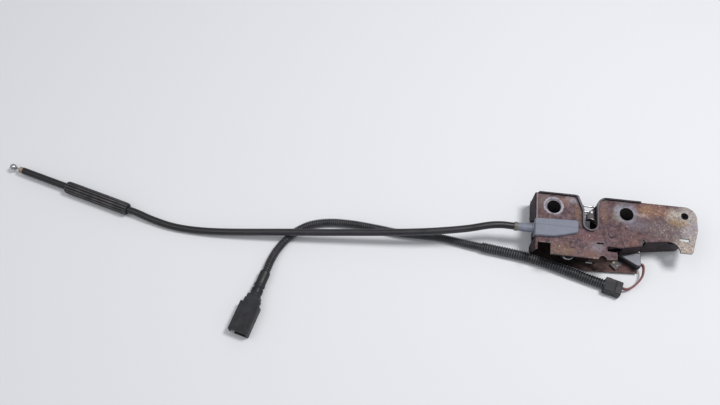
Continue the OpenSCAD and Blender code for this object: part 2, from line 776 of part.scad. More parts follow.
// Leaf that the cam presses on to the button, with its hinge pin
module switch_lever() {
  color(steel) {
    slab(leaf_z[0], leaf_z[1]) translate(leaf_hinge) rotate(-leaf_slope) {
      translate([-21, -leaf_t]) square([21, leaf_t]);
    }
    column(leaf_hinge, 0.7, z_rear + 1, switch_face - 1.5);
  }
}

module switch_button() {
  color(black_plastic) translate([button_x - button_w / 2, switch_top - 1.6, leaf_z[0] + 0.5])
    cube([button_w, button_top - switch_top + 1.6, leaf_z[1] - leaf_z[0] - 1]);
}

// Square-headed clip that pins the switch's foot to the rear sheet
module switch_clip() {
  color(black_plastic) {
    slab(z_rear + 1.5, z_rear + 3) translate(clip_p) rotate(45) square(clip_side, center = true);
    column(clip_p, 2 - seat_gap, z_back - 1.2, z_rear + 1.5 + eps);
    column(clip_p, 3, z_back - 1.2, z_back);
  }
}

module lead_wire_a() {
  color(wire_red) tube(smooth(lead_route, 2), lead_d / 2, 8);
}

module lead_wire_b() {
  color(wire_red) tube(smooth([for (p = lead_route) p + lead_step], 2), lead_d / 2, 8);
}

// End cap of the wide conduit, which the lead wires go into
module conduit_cap() {
  low = -wide_d / 2;
  color(black_plastic) translate(wide_route[0]) rotate([0, 0, cap_angle]) difference() {
    union() {
      translate([0, -cap_w / 2 + 1, low]) cube([cap_l, cap_w - 2, wide_d]);
      translate([0, -cap_w / 2, low + 1]) cube([cap_l, cap_w, wide_d - 2]);
      translate([2, -cap_w / 2 - 0.6, low + 2]) cube([3, cap_w + 1.2, wide_d - 4]);
    }
    translate([cap_l - 2, -3.4, -3.8]) cube([3, 6.8, 1]);
    translate([8, -cap_w / 2 - 1, low + wide_d - 1]) cube([1.2, cap_w + 2, 2]);
  }
}

module wide_conduit() {
  color(black_plastic) tube(smooth(wide_route, 1), wide_d / 2, 10);
}

module narrow_conduit() {
  color(black_plastic) tube(smooth(narrow_route, 1), narrow_d / 2, 10);
}

// Frame on the connector's axis, with X towards its mouth
module along_plug(u) {
  translate(plug_from) rotate([0, 0, plug_angle]) translate([u, 0, 0]) children();
}

// Split sleeve that clamps the conduit to the connector's boot
module conduit_clamp() {
  color(rubber) along_plug(0) rotate([0, 90, 0]) difference() {
    cylinder(h = clamp_l, r = narrow_d / 2 + 0.9);
    translate([2, -0.4, -1]) cube([narrow_d - 2, 0.8, clamp_l + 2]);
  }
}

// Stepped boot of the connector
module connector_boot() {
  color(black_plastic) along_plug(clamp_l) rotate([0, 90, 0]) rotate_extrude()
    polygon([[0, 0], [4.6, 0], [4.9, 0.5], [4.9, 2.6], [4.1, 3.2], [4.1, 4], [5, 4.6], [5.2, 8.6], [4.7, 9.2],
      [4.7, 9.8], [5.2, 10.2], [5.2, boot_l], [0, boot_l]]);
}

// Connector housing: a neck, a shroud open at its mouth, ribs and a locking step
module connector_housing() {
  low = -plug_h / 2;
  neck_w = 11.4;
  color(black_plastic) along_plug(clamp_l + boot_l) difference() {
    union() {
      translate([0, -neck_w / 2, low + 0.8]) cube([plug_neck_l + eps, neck_w, plug_h - 1.6]);
      translate([plug_neck_l, -plug_w / 2, low + 1]) cube([plug_body_l, plug_w, plug_h - 2]);
      translate([plug_neck_l, -plug_w / 2 + 1, low]) cube([plug_body_l, plug_w - 2, plug_h]);
      for (side = [-1, 1]) translate([plug_neck_l - 5, side * (neck_w / 2 + 0.6) - 0.8, low + 3])
        cube([5 + eps, 1.6, plug_h - 6]);
    }
    translate([plug_neck_l + plug_body_l - plug_depth, -plug_w / 2 + plug_wall, low + plug_wall])
      cube([plug_depth + 1, plug_w - 2 * plug_wall, plug_h - 2 * plug_wall]);
    translate([plug_neck_l + plug_body_l - 2.4, -plug_w / 2 - 1, low - 1]) cube([3, 5.5, 3.2]);
    translate([plug_neck_l + 11, -1.6, low + plug_h - 0.7]) cube([4, 3.2, 1]);
    for (side = [-1, 1]) translate([plug_neck_l + 4, side * 5.6 - 0.5, low + plug_h - 0.6])
      cube([plug_body_l - 8, 1, 1]);
  }
}

// Two blade contacts standing in the connector's shroud
module connector_pins() {
  floor_u = clamp_l + boot_l + plug_neck_l + plug_body_l - plug_depth;
  color(brass) along_plug(floor_u) for (side = [-1, 1])
    translate([0, side * 3.6 - 1.4, -0.4]) cube([plug_depth - 6, 2.8, 0.8]);
}

front_plate();
rear_plate();
hook_rivet();
lever_rivet();
spring_post();
catch_hook();
hook_bush();
hook_spring_pin();
hook_spring();
release_lever();
lever_bush();
lever_spring();
cable_housing();
nose_collar();
inner_wire();
wire_nipple();
cable_sheath();
ribbed_sleeve();
cable_ferrule();
ball_end();
switch_body();
switch_cover();
switch_lever();
switch_button();
switch_clip();
lead_wire_a();
lead_wire_b();
conduit_cap();
wide_conduit();
narrow_conduit();
conduit_clamp();
connector_boot();
connector_housing();
connector_pins();
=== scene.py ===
"""Looks of a bonnet latch with its pull cable and switch lead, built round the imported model."""
import logging
import math
from dataclasses import dataclass
from enum import Enum
from typing import Callable, Optional, Sequence

import bmesh
import bpy
from mathutils import Matrix, Vector


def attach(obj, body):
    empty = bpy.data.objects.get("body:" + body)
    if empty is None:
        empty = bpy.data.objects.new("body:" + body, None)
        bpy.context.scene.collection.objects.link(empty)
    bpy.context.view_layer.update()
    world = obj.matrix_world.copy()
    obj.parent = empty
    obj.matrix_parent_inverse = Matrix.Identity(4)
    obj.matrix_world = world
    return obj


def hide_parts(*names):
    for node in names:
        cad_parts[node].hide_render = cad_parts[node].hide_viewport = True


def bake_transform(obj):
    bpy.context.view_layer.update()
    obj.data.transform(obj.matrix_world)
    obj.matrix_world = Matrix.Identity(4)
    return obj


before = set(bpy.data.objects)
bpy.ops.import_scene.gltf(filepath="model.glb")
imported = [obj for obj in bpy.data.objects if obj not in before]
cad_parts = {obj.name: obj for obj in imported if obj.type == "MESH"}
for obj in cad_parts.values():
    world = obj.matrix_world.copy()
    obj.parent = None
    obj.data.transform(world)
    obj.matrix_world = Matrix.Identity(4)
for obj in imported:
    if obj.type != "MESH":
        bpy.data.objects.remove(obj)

LOG = logging.getLogger("bonnet_latch")
MM = 0.001
Point = tuple[float, float, float]
Pair = tuple[float, float]
Rgb = tuple[int, int, int]
Socket = bpy.types.NodeSocket
Material = bpy.types.Material
Mesh = bpy.types.Mesh
Thing = bpy.types.Object


class Body(Enum):
    """Bodies of the latch that pieces ride on."""

    CASE = "case"
    HOOK = "hook"
    LEVER = "lever"
    WIRE = "cable_wire"
    BALL = "cable_ball"
    HOOK_SPRING = "hook_spring_leg"
    LEAF = "switch_leaf"
    BUTTON = "button"


class Slot(Enum):
    """Material slots."""

    RUSTED_SHEET = "rusted_sheet"
    DARK_SHEET = "dark_sheet"
    BRIGHT_STEEL = "bright_steel"
    GREASED_STEEL = "greased_steel"
    GREY_PLASTIC = "grey_plastic"
    PALE_PLASTIC = "pale_plastic"
    BLACK_PLASTIC = "black_plastic"
    BLACK_RUBBER = "black_rubber"
    TAN_BRASS = "tan_brass"
    RED_WIRE = "red_brown_wire"


def tone(red: int, green: int, blue: int) -> tuple[float, float, float, float]:
    """Turn a display colour into scene-linear values.

    Args:
        red: Red from 0 to 255.
        green: Green from 0 to 255.
        blue: Blue from 0 to 255.

    Returns:
        The linear colour with full alpha.
    """
    def linear(value: int) -> float:
        """Undo the display's curve for one channel."""
        share = value / 255
        return share / 12.92 if share <= 0.04045 else ((share + 0.055) / 1.055) ** 2.4

    return (linear(red), linear(green), linear(blue), 1.0)


class Sketch:
    """A node tree, drawn one node at a time."""

    def __init__(self, tree: bpy.types.NodeTree) -> None:
        """Take up a tree."""
        self.tree = tree

    def add(self, kind: str, inputs: Optional[dict] = None, **settings: object) -> bpy.types.Node:
        """Add a node.

        Args:
            kind: Blender's name of the node type.
            inputs: Values or sockets for its inputs, by name or by index.
            **settings: Attributes of the node itself.

        Returns:
            The new node.
        """
        node = self.tree.nodes.new(kind)
        for name, value in settings.items():
            setattr(node, name, value)
        for key, value in (inputs or {}).items():
            self.feed(node.inputs[key], value)
        return node

    def feed(self, target: Socket, value: object) -> None:
        """Link a socket to an input, or set the input's own value.

        Args:
            target: The input.
            value: A socket, or the input's new value.
        """
        if isinstance(value, Socket):
            self.tree.links.new(value, target)
        else:
            target.default_value = value

    def math(self, operation: str, first: object, second: object = 0.0, third: object = 0.0) -> Socket:
        """Return the result of one sum."""
        node = self.add("ShaderNodeMath", {0: first, 1: second, 2: third}, operation=operation)
        return node.outputs["Value"]

    def times(self, first: object, *others: object) -> Socket:
        """Return the product of several values.

        Args:
            first: A number or a socket.
            *others: Further ones.

        Returns:
            The product's socket.
        """
        for other in others:
            first = self.math("MULTIPLY", first, other)
        return first

    def most(self, first: object, *others: object) -> Socket:
        """Return the largest of several values.

        Args:
            first: A number or a socket.
            *others: Further ones.

        Returns:
            The largest one's socket.
        """
        for other in others:
            first = self.math("MAXIMUM", first, other)
        return first


class NodeSketch(Sketch):
    """A material's node tree, round a Principled shader and Object coordinates."""

    def __init__(self, name: str) -> None:
        """Start a material.

        Args:
            name: Name of the material.
        """
        self.material = bpy.data.materials.new(name)
        self.material.use_nodes = True
        super().__init__(self.material.node_tree)
        self.place = self.add("ShaderNodeTexCoord").outputs["Object"]
        self.x, self.y, self.z = self.add("ShaderNodeSeparateXYZ", {"Vector": self.place}).outputs

    def noise(self, scale: float, detail: float, rough: float, stretch: Point = (1.0, 1.0, 1.0),
              warp: float = 0.0, shift: float = 0.0) -> Socket:
        """Return a noise value.

        Args:
            scale: Number of features in a metre.
            detail: Octaves of finer detail.
            rough: Strength of the finer detail.
            stretch: Scale of each axis, for a grain.
            warp: How far the pattern swirls.
            shift: Distance that sets the pattern apart from others of its scale.

        Returns:
            The noise factor's socket.
        """
        place = self.add("ShaderNodeMapping", {"Vector": self.place, "Scale": stretch,
                                               "Location": (shift, -shift, 0.6 * shift)}).outputs["Vector"]
        node = self.add("ShaderNodeTexNoise", {"Vector": place, "Scale": scale, "Detail": detail,
                                               "Roughness": rough, "Distortion": warp})
        return node.outputs["Fac"]

    def fray(self, width: float, scale: float, detail: float, rough: float, shift: float = 0.0) -> Socket:
        """Return a noise as an offset to both sides, in metres, that frays an outline."""
        noise = self.noise(scale, detail, rough, shift=shift)
        return self.times(self.math("SUBTRACT", noise, 0.5), width)

    def span(self, value: object, low: float, high: float, start: float = 0.0, stop: float = 1.0) -> Socket:
        """Return a value mapped smoothly from low..high to start..stop.

        Args:
            value: The value's socket.
            low: Value that becomes start.
            high: Value that becomes stop.
            start: Result at and before low.
            stop: Result at and past high.

        Returns:
            The result's socket.
        """
        node = self.add("ShaderNodeMapRange", {"Value": value, "From Min": low, "From Max": high,
                                               "To Min": start, "To Max": stop},
                        interpolation_type="SMOOTHSTEP")
        return node.outputs["Result"]

    def line(self, value: object, level: float, wide: float, thin: float) -> Socket:
        """Return a line where a value passes a level, full within thin and gone beyond wide."""
        return self.span(self.math("ABSOLUTE", self.math("SUBTRACT", value, level)), wide, thin)

    def mix(self, share: object, first: object, second: object, blend: str = "MIX") -> Socket:
        """Return two colours mixed by a share.

        Args:
            share: Share of the second colour.
            first: Colour below.
            second: Colour on top.
            blend: Blender's name of the blend.

        Returns:
            The mixed colour.
        """
        node = self.add("ShaderNodeMix", {"Factor": share, 6: first, 7: second}, data_type="RGBA",
                        blend_type=blend)
        return node.outputs[2]

    def dab(self, colour: object, value: Socket, low: float, high: float, share: float, paint: Rgb) -> Socket:
        """Return a colour with a share of paint over it, where a value passes from low to high."""
        return self.mix(self.span(value, low, high, 0.0, share), colour, tone(*paint))

    def distance(self, centre: Pair, squeeze: Pair = (1.0, 1.0)) -> Socket:
        """Return the distance from a place in the plane of the front face.

        Args:
            centre: The place, in metres.
            squeeze: Factor of each axis.

        Returns:
            The distance's socket.
        """
        away: Socket = self.place
        for operation, value in (("SUBTRACT", centre), ("MULTIPLY", squeeze)):
            node = self.add("ShaderNodeVectorMath", {0: away, 1: (*value, 0.0)}, operation=operation)
            away = node.outputs["Vector"]
        return self.add("ShaderNodeVectorMath", {0: away}, operation="LENGTH").outputs["Value"]

    def attribute(self, name: str) -> Socket:
        """Return a value stored on the mesh."""
        return self.add("ShaderNodeAttribute", attribute_name=name).outputs["Fac"]

    def worn(self, blotch: Socket, share: float) -> Socket:
        """Return how bare the softened edges are, up to a share, where a blotch is weak."""
        return self.times(self.attribute("edge"), self.span(blotch, 0.62, 0.42, 0.1, share))

    def finish(self, colour: object, rough: object, metal: object = 0.0, height: Optional[Socket] = None,
               depth: float = 0.0, strength: float = 0.0, gloss: float = 0.5) -> Material:
        """Feed the shader.

        Args:
            colour: Base colour.
            rough: Roughness.
            metal: Metallic share.
            height: Height of a bump, from 0 to 1.
            depth: Depth of the bump, in metres.
            strength: Strength of the bump.
            gloss: Level of the plain reflection.

        Returns:
            The finished material.
        """
        shader = self.tree.nodes["Principled BSDF"].inputs
        for name, value in (("Base Color", colour), ("Roughness", rough), ("Metallic", metal),
                            ("Specular IOR Level", gloss)):
            self.feed(shader[name], value)
        if height is not None:
            bump = self.add("ShaderNodeBump", {"Height": height, "Strength": strength, "Distance": depth})
            self.feed(shader["Normal"], bump.outputs["Normal"])
        return self.material


@dataclass(frozen=True)
class Speckle:
    """A scatter of specks, where a noise passes from low to high."""

    scale: float
    low: float
    high: float
    share: float
    colour: Rgb
    detail: float = 4.0
    rough: float = 0.6
    shift: float = 0.0
    warp: float = 0.0

    def lay(self, s: NodeSketch, colour: Socket, within: object = 1.0) -> Socket:
        """Return a colour with the specks on it.

        Args:
            s: The material's sketch.
            colour: The colour below.
            within: Share of the specks that shows.

        Returns:
            The speckled colour.
        """
        noise = s.noise(self.scale, self.detail, self.rough, warp=self.warp, shift=self.shift)
        share = s.span(noise, self.low, self.high, 0.0, self.share)
        return s.mix(s.times(within, share), colour, tone(*self.colour))


@dataclass(frozen=True)
class Patch:
    """A stain on the sheet, as a soft ellipse in the plane of the front face."""

    centre: Pair
    squeeze: Pair
    reach: float
    colour: Rgb
    share: float
    zinc: bool = False
    fade: Pair = (1.65, 0.35)

    def mask(self, s: NodeSketch, wander: Socket) -> Socket:
        """Return how much of the stain shows.

        Args:
            s: The material's sketch.
            wander: Offset that frays the stain's edge, in metres.

        Returns:
            The share's socket.
        """
        away = s.math("ADD", s.distance(self.centre, self.squeeze), wander)
        gone, full = self.fade
        return s.span(away, gone * self.reach, full * self.reach, 0.0, self.share)


@dataclass(frozen=True)
class WornHole:
    """The pale zone and the washer's mark round a bolt hole."""

    centre: Pair
    reach: float
    soft: float
    zone: Rgb
    zone_share: float
    mark_share: float
    mark: Rgb = (170, 166, 176)

    def shares(self, s: NodeSketch) -> tuple[Socket, Socket]:
        """Return how much of the zone and of the mark shows.

        Args:
            s: The material's sketch.

        Returns:
            The two shares.
        """
        reach = self.reach
        away = s.math("ADD", s.distance(self.centre), s.fray(3.2 * MM, 620, 5, 0.65, 0.37))
        broken = s.span(s.noise(170, 4, 0.6, shift=0.74), 0.36, 0.6, 0.35, 1.0)
        zone = s.span(away, reach + self.soft, reach - self.soft, 0.0, self.zone_share)
        inner = s.span(away, reach - 1.7 * MM, reach - 0.5 * MM)
        outer = s.span(away, reach + 1.0 * MM, reach - 0.1 * MM, 0.0, self.mark_share)
        return s.times(zone, broken), s.times(inner, outer, broken)


@dataclass(frozen=True)
class RustedSheet:
    """Zinc-plated sheet gone to mottled rust, paler round the holes and at the tongue's end."""

    name: str = "rusted_sheet"
    rim_top: float = 2.6 * MM
    pad: Pair = (0.018, -0.021)
    pad_r: float = 7.5 * MM
    disc: Pair = (-0.024, -0.042)
    disc_r: float = 18.6 * MM
    flank: Pair = (0.943, 0.333)
    flank_at: float = 16.35 * MM
    holes: tuple[WornHole, ...] = (
        WornHole((-0.0313, 0.0008), 0.0081, 0.0012, (122, 118, 130), 0.7, 0.8),
        WornHole((0.0303, 0.0014), 0.0095, 0.0028, (138, 141, 154), 0.8, 0.2))
    patches: tuple[Patch, ...] = (
        Patch((0.062, -0.010), (0.45, 1.0), 0.0085, (108, 99, 106), 0.65),
        Patch((0.0885, -0.010), (1.0, 0.45), 0.012, (146, 143, 150), 0.85, True),
        Patch((0.0785, -0.026), (0.8, 1.0), 0.009, (156, 148, 140), 0.85, True),
        Patch((0.085, 0.006), (1.0, 1.0), 0.0088, (152, 150, 150), 0.85, True),
        Patch((0.0715, 0.0035), (0.7, 1.0), 0.0046, (190, 184, 174), 0.85),
        Patch((0.0525, 0.0055), (0.42, 1.0), 0.0056, (142, 102, 84), 0.7),
        Patch((0.0475, 0.006), (0.8, 1.0), 0.003, (146, 116, 84), 0.65),
        Patch((0.0745, -0.0035), (0.5, 1.0), 0.0036, (152, 128, 96), 0.75),
        Patch((0.0445, 0.001), (0.5, 1.2), 0.0022, (176, 160, 152), 0.6),
        Patch((0.0235, -0.0025), (0.9, 0.7), 0.0042, (134, 128, 112), 0.6),
        Patch((0.038, -0.0085), (0.6, 1.0), 0.0055, (106, 104, 116), 0.6, True),
        Patch((0.0115, -0.001), (2.2, 0.7), 0.0058, (126, 98, 80), 0.6),
        Patch((-0.0105, -0.003), (2.2, 0.6), 0.0052, (128, 100, 82), 0.6),
        Patch((-0.016, 0.0085), (0.6, 1.0), 0.0044, (134, 130, 138), 0.8, True),
        Patch((-0.022, 0.0065), (0.7, 1.0), 0.0028, (134, 94, 86), 0.65),
        Patch((-0.039, 0.006), (1.0, 0.7), 0.005, (128, 118, 116), 0.55),
        Patch((0.005, -0.034), (0.8, 1.0), 0.0052, (128, 122, 130), 0.6, True),
        Patch((0.0, -0.0245), (0.4, 1.0), 0.0034, (122, 84, 86), 0.5),
        Patch((-0.0255, -0.0395), (0.4, 1.0), 0.0048, (132, 108, 90), 0.55),
        Patch((0.0, -0.041), (0.4, 1.0), 0.0036, (130, 98, 86), 0.5),
        Patch((0.037, -0.025), (1.0, 0.6), 0.0034, (126, 90, 82), 0.55))
    under: tuple[Speckle, ...] = (
        Speckle(210, 0.52, 0.68, 0.8, (128, 122, 132), shift=0.31, warp=0.5),
        Speckle(240, 0.53, 0.7, 0.6, (152, 132, 112), rough=0.62, shift=0.67),
        Speckle(320, 0.58, 0.7, 0.7, (118, 74, 70), shift=0.93))
    flecks: tuple[Speckle, ...] = (
        Speckle(520, 0.51, 0.60, 0.9, (142, 104, 72), rough=0.7, shift=0.50),
        Speckle(520, 0.53, 0.64, 0.8, (198, 188, 174), rough=0.7, shift=0.60),
        Speckle(520, 0.53, 0.63, 0.8, (88, 76, 82), rough=0.7, shift=0.27))
    soot_and_painted_shade: Speckle = Speckle(480, 0.5, 0.68, 0.6, (78, 57, 62), rough=0.7, shift=0.15)
    pits: tuple[Speckle, ...] = (
        Speckle(430, 0.65, 0.72, 0.8, (70, 50, 54), detail=3, rough=0.7, shift=0.8),
        Speckle(400, 0.685, 0.74, 0.9, (212, 194, 180), detail=2, rough=0.5, shift=0.4))

    def ground(self, s: NodeSketch, blotch: Socket) -> Socket:
        """Return the mottled rust under the stains.

        Args:
            s: The material's sketch.
            blotch: Noise of the larger blotches.

        Returns:
            The colour.
        """
        broad = s.noise(60, 5, 0.6, warp=0.6)
        colour = s.dab(tone(132, 114, 120), broad, 0.38, 0.62, 1.0, (124, 102, 102))
        colour = s.dab(colour, blotch, 0.48, 0.68, 0.65, (144, 112, 106))
        for speckle in self.under:
            colour = speckle.lay(s, colour)
        mottle = s.noise(300, 4, 0.62, warp=0.3, shift=0.12)
        shade = s.dab(tone(152, 143, 148), mottle, 0.32, 0.68, 1.0, (232, 222, 223))
        return s.mix(1.0, colour, shade, "MULTIPLY")

    def stains(self, s: NodeSketch, colour: Socket) -> tuple[Socket, Socket]:
        """Lay the stains, with their flecks, and the worn zones round the holes.

        Args:
            s: The material's sketch.
            colour: The colour below.

        Returns:
            The stained colour, and how bare the zinc lies.
        """
        wander = s.fray(13 * MM, 260, 5, 0.7, 0.2)
        bare: object = 0.0
        stained: object = 0.0
        for patch in self.patches:
            share = patch.mask(s, wander)
            colour = s.mix(share, colour, tone(*patch.colour))
            stained = s.most(stained, share)
            if patch.zinc:
                bare = s.most(bare, share)
        stained = s.times(stained, s.span(s.x, 38 * MM, 64 * MM, 0.3, 1.0))
        for fleck in self.flecks:
            colour = fleck.lay(s, colour, stained)
        colour = self.soot_and_painted_shade.lay(s, colour)
        for hole in self.holes:
            zone, mark = hole.shares(s)
            colour = s.mix(mark, s.mix(zone, colour, tone(*hole.zone)), tone(*hole.mark))
            bare = s.most(bare, zone, mark)
        return colour, bare

    def creases(self, s: NodeSketch) -> Socket:
        """Return the thin dark lines where the pressed steps rise from the flat.

        Args:
            s: The material's sketch.

        Returns:
            The share of the lines.
        """
        wide, thin = 0.7 * MM, 0.15 * MM
        dome = s.line(s.distance(self.pad), self.pad_r, wide, thin)
        slope = s.math("ADD", s.times(s.x, self.flank[0]), s.times(s.y, self.flank[1]))
        flank = s.line(slope, self.flank_at, wide, thin)
        disc = s.line(s.distance(self.disc), self.disc_r, 0.55 * MM, 0.1 * MM)
        return s.most(s.times(dome, s.span(s.y, -24 * MM, -21 * MM)),
                      s.times(flank, s.span(s.y, -21 * MM, -23 * MM)),
                      s.times(disc, s.span(s.x, -18 * MM, -13 * MM), s.span(s.y, -27 * MM, -30 * MM)))

    def edges(self, s: NodeSketch, colour: Socket, blotch: Socket) -> Socket:
        """Return the colour with bare edges, walls darkened by painted shade and grime, painted highlights at
        the left fold and the tongue's end, dirt and painted shade on upright faces, and the rim's worn crown.

        Args:
            s: The material's sketch.
            colour: The colour of the flat.
            blotch: Noise that breaks the wear.

        Returns:
            The colour of the whole sheet.
        """
        worn = s.times(s.worn(blotch, 0.6), s.span(s.z, 0.5 * MM, 0.2 * MM))
        # paler edges at the tongue's end: wear plus a painted highlight
        end = s.times(s.attribute("edge"), s.span(s.x, 58 * MM, 72 * MM, 0.0, 0.85))
        colour = s.mix(s.most(worn, end), colour, tone(188, 182, 180))
        # painted shade and grime: faces below the front face (walls, hole walls, underside) go dark, lighter
        # brown at their foot
        inside = s.dab(tone(38, 32, 38), blotch, 0.4, 0.65, 1.0, (56, 42, 46))
        foot = s.dab(tone(108, 84, 78), blotch, 0.4, 0.62, 1.0, (64, 48, 48))
        inside = s.mix(s.span(s.z, -25.6 * MM, -26.2 * MM), inside, foot)
        colour = s.mix(s.span(s.z, -0.35 * MM, -1.1 * MM), colour, inside)
        # painted highlight, partly wear: a pale line where the left fold begins
        bend = s.times(s.span(s.z, -0.02 * MM, -0.12 * MM), s.span(s.z, -0.5 * MM, -0.25 * MM),
                       s.span(s.x, -43.5 * MM, -44.5 * MM), s.span(s.y, -15 * MM, -13 * MM),
                       s.span(blotch, 0.7, 0.4, 0.3, 0.8))
        colour = s.mix(bend, colour, tone(160, 160, 170))
        # dirt and painted shade on the upright faces of the rim and rivet heads
        colour = s.mix(s.attribute("dirt_and_painted_shade"), colour, tone(32, 26, 30))
        crown = s.times(s.span(s.z, self.rim_top - 0.4 * MM, self.rim_top - 0.2 * MM),
                        s.span(blotch, 0.65, 0.4, 0.6, 1.0))
        return s.mix(crown, colour, s.dab(tone(108, 104, 112), s.y, 10.6 * MM, 11.4 * MM, 1.0, (46, 42, 48)))

    def material(self) -> Material:
        """Return the finish as a material.

        Returns:
            The material.
        """
        s = NodeSketch(self.name)
        blotch = s.noise(190, 5, 0.62, warp=0.4)
        grain = s.noise(1300, 4, 0.6)
        colour, bare = self.stains(s, self.ground(s, blotch))
        colour = s.dab(colour, grain, 0.54, 0.72, 0.45, (66, 49, 52))
        for pit in self.pits:
            colour = pit.lay(s, colour)
        colour = s.mix(s.times(self.creases(s), 0.7), colour, tone(62, 42, 50))
        height = s.math("ADD", s.times(blotch, 0.7), s.times(grain, 0.3))
        return s.finish(self.edges(s, colour, blotch), s.span(bare, 0.0, 1.0, 0.8, 0.5), s.times(bare, 0.35),
                        height, 0.4 * MM, 0.6, gloss=0.3)


@dataclass(frozen=True)
class RearSheet:
    """Rear sheet: brown at its free edge, dark with painted shade in the depth of the case."""

    name: str = "dark_sheet"
    flecks: Speckle = Speckle(520, 0.54, 0.7, 0.6, (132, 102, 84), rough=0.65, shift=0.4)

    def material(self) -> Material:
        """Return the finish as a material.

        Returns:
            The material.
        """
        s = NodeSketch(self.name)
        blotch = s.noise(150, 5, 0.62, warp=0.5)
        grain = s.noise(1300, 3, 0.6)
        colour = s.dab(tone(96, 75, 73), blotch, 0.38, 0.64, 1.0, (58, 46, 48))
        colour = self.flecks.lay(s, colour)
        colour = s.dab(colour, grain, 0.55, 0.76, 0.5, (46, 36, 38))
        colour = s.mix(s.worn(blotch, 0.7), colour, tone(140, 124, 120))
        # painted shade: dark in the depth of the case and towards the left, weaker on the back face
        soot_and_painted_shade = s.most(s.span(s.y, -32 * MM, -24 * MM), s.span(s.x, 6 * MM, -14 * MM, 0.0, 0.8))
        front = s.span(s.z, -25.6 * MM, -24.6 * MM, 0.35, 1.0)
        colour = s.mix(s.times(soot_and_painted_shade, front), colour, tone(10, 9, 10))
        return s.finish(colour, s.span(blotch, 0.35, 0.7, 0.74, 0.9), 0.0, blotch, 0.3 * MM, 0.5, gloss=0.12)


@dataclass(frozen=True)
class AgedSteel:
    """Plain steel with dark blotches and worn edges, from bright to rusted or greasy."""

    name: str
    light: Rgb
    dark: Rgb
    rough: Pair
    metal: float
    patch: float
    worn: Rgb = (150, 146, 142)
    painted_glints: tuple[tuple[Point, Point], ...] = ()
    fade: float = 0.4 * MM

    def material(self) -> Material:
        """Return the finish as a material.

        Returns:
            The material.
        """
        s = NodeSketch(self.name)
        blotch = s.noise(self.patch, 5, 0.6, warp=0.5)
        grain = s.noise(self.patch * 6, 3, 0.6)
        colour = s.dab(tone(*self.light), blotch, 0.4, 0.66, 1.0, self.dark)
        colour = s.dab(colour, grain, 0.55, 0.75, 0.35, self.dark)
        colour = s.mix(s.worn(blotch, 0.7), colour, tone(*self.worn))
        # painted highlights: the worn colour inside the listed boxes stands in for glints
        for low, high in self.painted_glints:
            share = s.span(grain, 0.3, 0.5, 0.75, 1.0)
            for place, start, stop in zip((s.x, s.y, s.z), low, high):
                share = s.times(share, s.span(place, start, start + self.fade),
                                s.span(place, stop, stop - self.fade))
            colour = s.mix(share, colour, tone(*self.worn))
        rough = s.span(blotch, 0.35, 0.7, *self.rough)
        return s.finish(colour, rough, self.metal, grain, 0.06 * MM, 0.4)


@dataclass(frozen=True)
class MouldedPlastic:
    """Moulded plastic with fine texture, scuffs and a little dust."""

    name: str
    base: Rgb
    scuff: Rgb
    dust: float
    rough: float = 0.5
    gloss: float = 0.5
    seam_y: Optional[float] = None
    shade: Optional[Pair] = None

    def material(self) -> Material:
        """Return the finish as a material.

        Returns:
            The material.
        """
        s = NodeSketch(self.name)
        cloud = s.noise(110, 4, 0.6)
        height = s.noise(2600, 2, 0.5)
        scratch = s.noise(240, 3, 0.7, (1.0, 7.0, 4.0))
        colour = s.dab(tone(*self.base), cloud, 0.35, 0.7, self.dust, self.scuff)
        colour = s.dab(colour, scratch, 0.62, 0.7, 0.4, self.scuff)
        colour = s.mix(s.times(s.attribute("edge"), 0.55), colour, tone(*self.scuff))
        if self.seam_y is not None:
            seam = s.line(s.y, self.seam_y, 0.45 * MM, 0.15 * MM)
            seam = s.times(seam, s.span(s.z, 2.2 * MM, 2.6 * MM))
            colour = s.mix(s.times(seam, 0.4), colour, tone(60, 64, 76))
            height = s.math("SUBTRACT", height, seam)
        # painted shade: darker past a slanted line, towards +y
        if self.shade is not None:
            slope, level = self.shade
            rise = s.math("SUBTRACT", s.y, s.times(s.x, slope))
            colour = s.dab(colour, rise, level - 0.5 * MM, level + 0.5 * MM, 1.0, (26, 24, 28))
        rough = s.span(cloud, 0.3, 0.7, self.rough - 0.08, self.rough + 0.14)
        return s.finish(colour, rough, 0.0, height, 0.06 * MM, 0.35, self.gloss)


@dataclass(frozen=True)
class HoseSkin:
    """Black plastic or rubber tube; crests are lighter, scuffed and with a painted highlight, and grooves
    stay dark.
    """

    name: str
    base: Rgb
    crest: Rgb
    rough: float
    wear_and_sheen: float

    def material(self) -> Material:
        """Return the finish as a material.

        Returns:
            The material.
        """
        s = NodeSketch(self.name)
        cloud = s.noise(90, 4, 0.6)
        fine = s.noise(1500, 3, 0.6)
        crest = s.times(s.span(s.attribute("crest"), 0.5, 1.0), s.span(cloud, 0.35, 0.65, 0.35, 1.0))
        # lighter crests: scuffs plus a painted highlight
        colour = s.mix(s.times(crest, self.wear_and_sheen), tone(*self.base), tone(*self.crest))
        colour = s.dab(colour, fine, 0.6, 0.75, 0.3, self.crest)
        rough = s.span(cloud, 0.3, 0.7, self.rough - 0.1, self.rough + 0.12)
        return s.finish(colour, rough, 0.0, fine, 0.05 * MM, 0.3)


